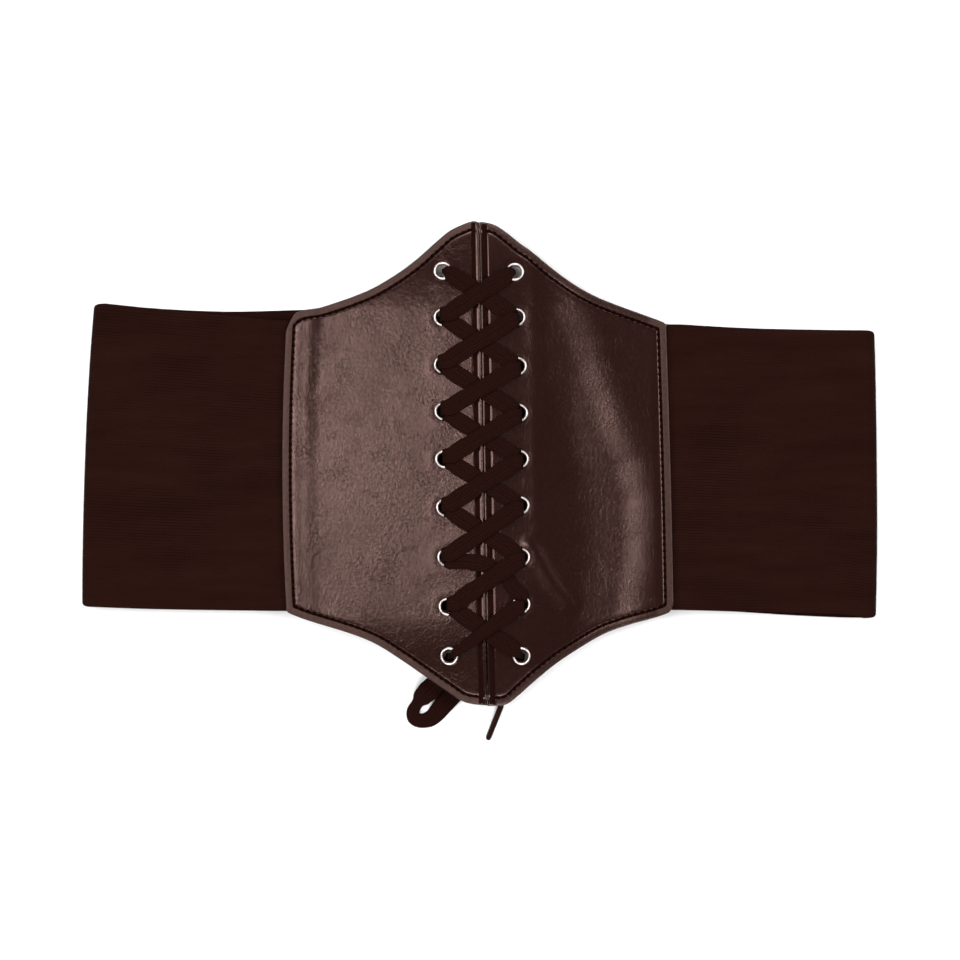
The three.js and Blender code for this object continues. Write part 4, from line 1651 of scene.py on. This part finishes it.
@dataclass(frozen=True)
class LeatherPanel:
    """One leather panel with its stitched border, its relief and its eyelet holes.

    Waves holds the soft lie's rises and cells to a metre. A swell is a rise, the distance from the
    stitched rim where it is highest and its spread. Eye_swell is the same round an eyelet's axis,
    and eye_dip a depth and its spread.
    """

    form: BeltForm
    cut: PanelCut
    finish: LeatherFinish
    fold: DiagonalFold | None
    border: float = 3.5 * MM
    border_spread: float = 0.45 * MM
    seam_half: float = 0.62 * MM
    border_depth: float = 0.24 * MM
    swells: tuple[Triple, ...] = (
        (0.04 * MM, 1.7 * MM, 1.0 * MM), (0.03 * MM, 5.4 * MM, 1.6 * MM),
    )
    # Where, in borders from the outer edge, the border strip's painted light fades out.
    lit_band: Pair = (1.5, 2.5)
    waves: Table = ((0.07 * MM, 40), (0.02 * MM, 110))
    eye_reach: float = 12 * MM
    eye_swell: Triple = (0.035 * MM, 5.6 * MM, 1.5 * MM)
    eye_dip: Pair = (0.05 * MM, 4 * MM)
    edge_round: float = 0.6 * MM
    hole: float = 3.05 * MM
    cell: float = 0.8 * MM
    inner_share: float = 0.93
    rim_lines: tuple[float, ...] = (
        0, 0.1, 0.25, 0.45, 0.7, *(1 + 0.3 * k for k in range(18)),
    )
    slope_reach: float = 0.02
    seam_steps: int = 60
    stitch_pitch: float = 2.7 * MM
    stitch_length: float = 2.3 * MM
    stitch_width: float = 1.7 * MM
    stitch_flat: float = 0.7
    stitch_rise: float = 0.06 * MM

    def lines(self, count: int) -> int:
        """Number of faces across, for that many inner cells."""
        return 2 * (len(self.rim_lines) - 1) + count

    def line_place(self, index: int, count: int, length: float, stretch: Pair) -> float:
        """Where a grid line lies over a length.

        Args:
            index: The line's number.
            count: Inner cells.
            length: The length that the lines span.
            stretch: How much wider the rim's steps are at the start and at the end.

        Returns:
            Its distance from the start.
        """
        near = len(self.rim_lines) - 1
        if index <= near:
            return self.rim_lines[index] * MM * stretch[0]
        if index >= near + count:
            return length - self.rim_lines[2 * near + count - index] * MM * stretch[1]
        start = self.rim_lines[-1] * MM * stretch[0]
        end = length - self.rim_lines[-1] * MM * stretch[1]
        return mix(start, end, (index - near) / count)

    def slope(self, across: float, upper: bool) -> float:
        """Cosine of the upper or lower edge's slope.

        Args:
            across: Share of the width from the outer edge.
            upper: Whether the upper edge is meant.

        Returns:
            The cosine.
        """
        low, high = max(0.0, across - self.slope_reach), min(1.0, across + self.slope_reach)
        rise = self.form.edge_y(self.cut, high, upper) - self.form.edge_y(self.cut, low, upper)
        return math.cos(math.atan2(rise, (high - low) * self.cut.width))

    def rounded_edge(self, across: float, upper: bool) -> float:
        """The y of the upper or lower edge, with its outer corner rounded.

        Args:
            across: Share of the width from the outer edge.
            upper: Whether the upper edge is meant.

        Returns:
            The edge's y.
        """
        y = self.form.edge_y(self.cut, across, upper)
        inset = across * self.cut.width
        corner = self.cut.corners[0 if upper else 1]
        if inset >= corner:
            return y
        left = corner - inset
        drop = corner - math.sqrt(max(0.0, corner**2 - left**2))
        return y - drop if upper else y + drop

    def sag(self, x: float, y: float) -> float:
        """Soft lie of the leather over its even form: slight waves, and the fold.

        Args:
            x: Place across the belt.
            y: Place up the belt.

        Returns:
            How far the leather stands over its even form.
        """
        place = Vector((x, y, 0))
        wave = sum(rise * noise.noise(place * cells) for rise, cells in self.waves)
        return self.fold.over(wave, self.form, self.cut, place) if self.fold else wave

    def dents(self, x: float, y: float) -> float:
        """Swelling of the leather round the eyelets that it is pressed between.

        Args:
            x: Place across the belt.
            y: Place up the belt.

        Returns:
            The rise of the upper side.
        """
        swell, radius, spread = self.eye_swell
        dip, reach = self.eye_dip
        rise = 0.0
        for row in range(self.form.rows):
            eye = self.form.eyelet_place(self.cut, row)
            if abs(eye.y - y) < self.eye_reach:
                away = math.hypot(x - eye.x, y - eye.y)
                rise += swell * bell(away - radius, spread) - dip * bell(away, reach)
        return rise

    def relief(self, rim: float, laced: float) -> float:
        """Relief of the upper side: the stitch line, the swells beside it and the laced groove.

        Args:
            rim: Distance to the stitched rim.
            laced: Distance to the laced edge.

        Returns:
            The rise of the upper side.
        """
        rise = -self.border_depth * bell(rim - self.border, self.border_spread)
        rise += sum(high * bell(rim - place, spread) for high, place, spread in self.swells)
        near, low, far = self.cut.groove
        fall = smooth_step(laced, near, low) * (1 - smooth_step(laced, low, far))
        return rise - self.cut.groove_depth * fall

    def rounding(self, edge: float) -> float:
        """How far each side falls in near an edge.

        Args:
            edge: Distance to the nearest edge.

        Returns:
            The fall.
        """
        if edge >= self.edge_round:
            return 0.0
        left = self.edge_round - edge
        return self.edge_round - math.sqrt(max(0.0, self.edge_round**2 - left**2))

    def sheet(self) -> Mesh:
        """The panel's closed mesh.

        Returns:
            The mesh, with its distances to the edges as layers.
        """
        inner_columns = round(self.cut.width / self.cell)
        inner_rows = round(self.inner_share * self.form.height / self.cell)
        mesh, place = unit_grid(self.lines(inner_columns), self.lines(inner_rows))
        names = ("edge", "rim", "laced", "eye", "side")
        edge_at, rim_at, laced_at, eye_at, lit_at = (mesh.verts.layers.float.new(name) for name in names)
        eyes = [self.form.eyelet_place(self.cut, row) for row in range(self.form.rows)]
        start, end = self.lit_band
        for vertex in mesh.verts:
            column, row = place(vertex)
            inset = self.line_place(column, inner_columns, self.cut.width, (1, 1))
            across = inset / self.cut.width
            foot, top = self.rounded_edge(across, False), self.rounded_edge(across, True)
            cosines = (self.slope(across, False), self.slope(across, True))
            height = top - foot
            up = self.line_place(row, inner_rows, height, (1 / cosines[0], 1 / cosines[1]))
            y = foot + up
            laced_x = self.form.laced_edge(self.cut, y) - self.cut.sign * self.form.closing
            x = mix(self.form.outer_edge(self.cut, y), laced_x, across)
            vertex.co = (x, y, self.form.leather_height(x, y))
            vertex[rim_at] = min(inset, up * cosines[0], (height - up) * cosines[1])
            vertex[laced_at] = self.cut.width - inset
            vertex[edge_at] = min(vertex[rim_at], vertex[laced_at])
            vertex[eye_at] = min(math.hypot(x - eye.x, y - eye.y) for eye in eyes)
            # 1 along the outer side, where the border strip is painted lighter, and 0 further in.
            vertex[lit_at] = 1 - smooth_step(inset, start * self.border, end * self.border)
        self.punch(mesh)
        # Faces in the stitch groove and the laced groove take the second, dark material: painted shade.
        low, high = self.cut.groove_shade
        for face in mesh.faces:
            rim = sum(vertex[rim_at] for vertex in face.verts) / len(face.verts)
            laced = sum(vertex[laced_at] for vertex in face.verts) / len(face.verts)
            at_rim = abs(rim - self.border) < self.seam_half and laced > high
            at_lace = low < laced < high and rim > self.edge_round
            face.material_index = int(at_rim or at_lace)
        upper, lower = thicken(mesh)
        for vertex in lower:
            vertex.co.z += self.rounding(vertex[edge_at]) - self.form.leather / 2
        for vertex in upper:
            x, y = vertex.co.x, vertex.co.y
            rise = self.relief(vertex[rim_at], vertex[laced_at]) - self.rounding(vertex[edge_at])
            vertex.co.z += self.form.leather / 2 + rise + self.sag(x, y) + self.dents(x, y)
        return mesh

    def punch(self, mesh: Mesh) -> None:
        """Opens the eyelet holes and draws their rims round.

        Args:
            mesh: The panel's open sheet.
        """
        eyes = [self.form.eyelet_place(self.cut, row) for row in range(self.form.rows)]
        inside = [
            face for face in mesh.faces
            if any((face.calc_center_median() - eye).to_2d().length < self.hole for eye in eyes)
        ]
        bmesh.ops.delete(mesh, geom=inside, context="FACES")
        outline = {vertex for edge in mesh.edges if edge.is_boundary for vertex in edge.verts}
        for vertex in outline:
            for eye in eyes:
                away = (vertex.co - eye).to_2d()
                if away.length < 2 * self.hole:
                    away = away.normalized() * self.hole
                    vertex.co.x, vertex.co.y = eye.x + away.x, eye.y + away.y

    def seam_route(self) -> list[Vector]:
        """The stitch line, round the border from the laced groove's top to its foot.

        Returns:
            Its places, of which x and y count.
        """
        inset = self.border / self.cut.width
        groove = 1 - sum(self.cut.groove_shade) / 2 / self.cut.width
        steps = self.seam_steps
        places = []
        for upper in (True, False):
            line = []
            for across in (mix(inset, groove, i / steps) for i in range(steps + 1)):
                fall = self.border / self.slope(across, upper)
                y = self.form.edge_y(self.cut, across, upper) + (-fall if upper else fall)
                x = mix(self.form.outer_edge(self.cut, y), self.form.laced_edge(self.cut, y), across)
                line.append(Vector((x, y, 0)))
            places.append(line)
        upper_line, lower_line = places
        side = [
            Vector((self.form.outer_edge(self.cut, y) - self.cut.sign * self.border, y, 0))
            for y in (mix(lower_line[0].y, upper_line[0].y, i / steps) for i in range(1, steps))
        ]
        return [*reversed(upper_line), *reversed(side), *lower_line]

    def stitches(self) -> Mesh:
        """Short threads, evenly spaced along the stitch line.

        Returns:
            The mesh of all of them.
        """
        route = self.seam_route()
        mesh = bmesh.new()
        lie = self.form.leather / 2 + self.stitch_rise - self.border_depth
        flat = self.stitch_flat * self.stitch_width
        size = Matrix.Diagonal((self.stitch_length, self.stitch_width, flat, 1))
        goal, walked = self.stitch_pitch / 2, 0.0
        for start, end in zip(route, route[1:]):
            span = (end - start).length
            while goal <= walked + span:
                place = start.lerp(end, (goal - walked) / span)
                along = (end - start).normalized()
                rise = lie + self.sag(place.x, place.y)
                place.z = self.form.leather_height(place.x, place.y) + rise
                made = bmesh.ops.create_icosphere(mesh, subdivisions=1, radius=0.5)["verts"]
                turn = Vector((1, 0, 0)).rotation_difference(along).to_matrix().to_4x4()
                bmesh.ops.transform(mesh, matrix=Matrix.Translation(place) @ turn @ size, verts=made)
                goal += self.stitch_pitch
            walked += span
        return mesh

    def build(self, thread: Material) -> Piece:
        """Makes the panel and its stitches.

        Args:
            thread: The stitches' finish.

        Returns:
            The panel's piece.
        """
        word = self.cut.side.name.lower()
        leather = self.finish.material(f"crinkled_leather_{word}", self.cut.groove_shade)
        piece = keep(self.sheet(), f"leather_{word}", leather, Slot.LEATHER)
        # The second material: painted shade on the groove faces.
        piece.data.materials.append(GROOVE_SHADE.material(f"dark_seam_{word}"))
        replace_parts(piece, f"panel_{word}")
        keep(self.stitches(), f"stitches_{word}", thread, Slot.LEATHER)
        return piece


# The elastic


@dataclass(frozen=True)
class BandEdge:
    """Upper and lower edge of the elastic at one place of its run, as shares of its height."""

    along: float
    top: float
    foot: float


@dataclass(frozen=True)
class Station:
    """A place of the elastic's run: its x and z, the way its outer side faces, and its edges."""

    x: float
    z: float
    facing: float
    top: float
    foot: float


@dataclass(frozen=True)
class ElasticBand:
    """The wide elastic, a flattened loop whose ends lie under the outer edges of the panels.

    Free is how far from a fold the elastic lies in slight waves, and follow where its fold starts
    to lean, as a share of half its width. Right_bend is the height where the right fold stands out.
    """

    form: BeltForm
    fold_to_fold: float = 328.6 * MM
    height: float = 120 * MM
    wall: float = 1.5 * MM
    layer_gap: float = 6 * MM
    tuck: float = 13 * MM
    left_lean: float = 5 * MM
    right_lean: float = 1.2 * MM
    right_bend: float = 0.38
    follow: float = 0.5
    corner: float = 1.8 * MM
    corner_fade: int = 8
    wave: float = 0.2 * MM
    wave_cells: Triple = (16, 24, 40)
    free: Pair = (60 * MM, 85 * MM)
    hem_depth: float = 0.35 * MM
    hem_spread: float = 0.5
    rib_pitch: float = 1.2 * MM
    rib_depth: float = 0.14 * MM
    rows_per_rib: int = 4
    fold_steps: int = 14
    flat_step: float = 9 * MM
    front_left: tuple[BandEdge, ...] = (
        BandEdge(-0.49, 0.49, -0.507), BandEdge(-0.66, 0.511, -0.504), BandEdge(-0.83, 0.531, -0.5),
        BandEdge(-0.98, 0.55, -0.493),
    )
    back: tuple[BandEdge, ...] = (
        BandEdge(-0.98, 0.55, -0.493), BandEdge(-0.83, 0.534, -0.5), BandEdge(-0.67, 0.5245, -0.504),
        BandEdge(-0.58, 0.5245, -0.5045), BandEdge(-0.48, 0.5285, -0.505), BandEdge(-0.4, 0.53, -0.506),
        BandEdge(0, 0.5, -0.506), BandEdge(0.49, 0.472, -0.503), BandEdge(0.63, 0.468, -0.5095),
        BandEdge(0.79, 0.463, -0.523), BandEdge(0.93, 0.46, -0.531), BandEdge(0.98, 0.458, -0.5315),
    )
    front_right: tuple[BandEdge, ...] = (
        BandEdge(0.98, 0.458, -0.5315), BandEdge(0.94, 0.4585, -0.5205), BandEdge(0.83, 0.459, -0.515),
        BandEdge(0.66, 0.466, -0.509), BandEdge(0.495, 0.479, -0.503),
    )

    @property
    def radius(self) -> float:
        """Radius of the folds, at the middle of the wall."""
        return (self.layer_gap + self.wall) / 2

    def flat(self, start: float, end: float, front: bool, edges: Sequence[BandEdge]) -> list[Station]:
        """A flat stretch of the run.

        Args:
            start: The x where it starts.
            end: The x where it ends.
            front: Whether it lies in the front layer.
            edges: The edges' rows for it.

        Returns:
            Its stations.
        """
        z = self.wall / 2 + (2 * self.radius if front else 0)
        facing = math.pi / 2 if front else -math.pi / 2
        count = max(2, round(abs(end - start) / self.flat_step))
        rows = sorted((edge.along, edge.top, edge.foot) for edge in edges)
        tops = [(along, top) for along, top, _ in rows]
        feet = [(along, foot) for along, _, foot in rows]
        found = []
        for i in range(count + 1):
            x = mix(start, end, i / count)
            along = min(rows[-1][0], max(rows[0][0], x / (self.fold_to_fold / 2)))
            found.append(Station(x, z, facing, read_curve(tops, along), read_curve(feet, along)))
        return found

    def fold(self, sign: int, fold_x: float, edge: BandEdge) -> list[Station]:
        """A fold of the run.

        Args:
            sign: -1 on the left and 1 on the right.
            fold_x: How far from the middle its axis lies.
            edge: The edges there.

        Returns:
            Its stations.
        """
        found = []
        for i in range(1, self.fold_steps):
            share = i / self.fold_steps
            turn = share if sign < 0 else 1 - share
            facing = math.pi / 2 - sign * math.pi * turn
            x = sign * fold_x + self.radius * math.cos(facing)
            z = self.wall / 2 + self.radius + self.radius * math.sin(facing)
            found.append(Station(x, z, facing, edge.top, edge.foot))
        return found

    def stations(self) -> list[Station]:
        """The whole run, from under the left panel round the back to under the right one.

        Returns:
            Its stations.
        """
        fold_x = self.fold_to_fold / 2 - self.radius - self.wall / 2
        left_end = self.form.seam_offset - self.form.seam_gap / 2 - LEFT_CUT.width + self.tuck
        right_end = self.form.seam_offset + self.form.seam_gap / 2 + RIGHT_CUT.width - self.tuck
        return [
            *self.flat(left_end, -fold_x, True, self.front_left), *self.fold(-1, fold_x, self.back[0]),
            *self.flat(-fold_x, fold_x, False, self.back), *self.fold(1, fold_x, self.back[-1]),
            *self.flat(fold_x, right_end, True, self.front_right),
        ]

    def lean(self, x: float, up: float) -> float:
        """How far a fold leans, less towards the middle of the belt.

        Args:
            x: Place across the belt.
            up: Share of the height.

        Returns:
            The shift of that place to the right.
        """
        follow = smooth_step(abs(x) * 2 / self.fold_to_fold, self.follow, 1)
        left = max(0.0, self.corner - min(up, 1 - up) * self.height)
        pull = (self.corner - math.sqrt(self.corner**2 - left**2)) * follow**self.corner_fade
        if x < 0:
            return pull + follow * self.left_lean * up * up
        past = (up - self.right_bend) / (1 - self.right_bend)
        return -pull - follow * self.right_lean * past**2

    def build(self) -> Piece:
        """Makes the elastic with a rib along each row of its weave.

        Returns:
            The piece.
        """
        stations = self.stations()
        ribs = round(self.height / self.rib_pitch)
        rows = ribs * self.rows_per_rib
        mesh, place = unit_grid(len(stations) - 1, rows)
        facing_at = mesh.verts.layers.float.new("facing")
        rise_at = mesh.verts.layers.float.new("rise")
        for vertex in mesh.verts:
            column, row = place(vertex)
            station = stations[column]
            up = row / rows
            x = station.x + self.lean(station.x, up)
            y = mix(station.foot, station.top, up) * self.height
            cells = (part * size for part, size in zip((x, y, station.z), self.wave_cells))
            wave = self.wave * noise.noise(Vector(tuple(cells)))
            free = 1 - smooth_step(self.fold_to_fold / 2 - abs(x), *self.free)
            rib = 0.5 - 0.5 * math.cos(2 * math.pi * row / self.rows_per_rib)
            hem = self.hem_depth * bell(min(row, rows - row) / self.rows_per_rib, self.hem_spread)
            vertex.co = (x, y, station.z)
            vertex[facing_at] = station.facing
            vertex[rise_at] = wave * free - self.rib_depth * (1 - rib) - hem
        for vertices, sign in zip(thicken(mesh), (1, -1)):
            for vertex in vertices:
                facing = vertex[facing_at]
                push = sign * self.wall / 2 + (vertex[rise_at] if sign > 0 else 0)
                vertex.co += Vector((math.cos(facing), 0, math.sin(facing))) * push
        finish = ElasticFinish().material("ribbed_elastic", ribs)
        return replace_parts(keep(mesh, "elastic_band", finish, Slot.ELASTIC), "band")

    def run(self) -> float:
        """Length of the elastic along its run."""
        places = [Vector((station.x, 0, station.z)) for station in self.stations()]
        return sum((b - a).length for a, b in zip(places, places[1:]))


# The studio


@dataclass(frozen=True)
class SoftLight:
    """A large square light: where it stands, what it looks at, its side and its power."""

    name: str
    place: Triple
    size: float
    power: float

    def build(self) -> None:
        """Adds the light, turned to the belt."""
        data = bpy.data.lights.new(self.name, "AREA")
        data.shape = "SQUARE"
        data.size = self.size
        data.energy = self.power
        light = bpy.data.objects.new(self.name, data)
        light.location = self.place
        light.rotation_euler = (-Vector(self.place)).to_track_quat("-Z", "Y").to_euler()
        bpy.context.scene.collection.objects.link(light)


@dataclass(frozen=True)
class Studio:
    """A pale floor, soft lights and a camera that looks straight down."""

    field_width: float = 395.9 * MM
    centre: Pair = (0.2 * MM, -6.8 * MM)
    camera_height: float = 2.0
    subject_height: float = 8 * MM
    sensor: float = 36.0
    floor_size: float = 6.0
    ambient: float = 0.12
    lights: tuple[SoftLight, ...] = (
        SoftLight("key_left", (-0.31, 0.025, 1.5), 0.25, 3.9),
        SoftLight("side_left", (-1.35, 0.25, 1.5), 1.0, 25),
        SoftLight("side_right", (1.35, 0.25, 1.5), 1.0, 25),
        SoftLight("back", (0.0, 1.45, 1.5), 1.0, 25),
        SoftLight("front", (0.0, -1.45, 1.5), 1.0, 25),
    )

    def build_camera(self) -> None:
        """Adds the camera over the belt."""
        data = bpy.data.cameras.new("camera")
        data.sensor_width = self.sensor
        data.lens = self.sensor * (self.camera_height - self.subject_height) / self.field_width
        camera = bpy.data.objects.new("camera", data)
        camera.location = (*self.centre, self.camera_height)
        bpy.context.scene.collection.objects.link(camera)
        bpy.context.scene.camera = camera

    def build(self) -> None:
        """Adds the floor, the lights and the ambient light."""
        mesh = bmesh.new()
        bmesh.ops.create_grid(mesh, x_segments=1, y_segments=1, size=self.floor_size / 2)
        keep(mesh, "floor", PAPER.material("pale_floor"), None)
        for light in self.lights:
            light.build()
        world = bpy.data.worlds.new("studio")
        world.use_nodes = True
        world.node_tree.nodes["Background"].inputs["Color"].default_value = (1, 1, 1, 1)
        world.node_tree.nodes["Background"].inputs["Strength"].default_value = self.ambient
        bpy.context.scene.world = world
        bpy.context.scene.view_settings.view_transform = "Standard"


def main() -> None:
    """Builds the belt and the studio, camera and cords first."""
    logging.basicConfig(level=logging.INFO, format="%(name)s: %(message)s")
    form = BeltForm()
    studio = Studio()
    studio.build_camera()
    for side, route in ((Side.LEFT, LEFT_TAIL), (Side.RIGHT, RIGHT_TAIL)):
        FreeEnd(side, route).build()
    Lace(form).build()
    Eyelets(form).build()
    thread = THREAD.material("dark_thread")
    band = ElasticBand(form)
    elastic = band.build()
    band.run()
    leathers = ((LEFT_CUT, LEFT_LEATHER, None), (RIGHT_CUT, RIGHT_LEATHER, DiagonalFold()))
    for cut, finish, fold in leathers:
        panel = LeatherPanel(form, cut, finish, fold).build(thread)
    studio.build()


if __name__ == "__main__":
    main()
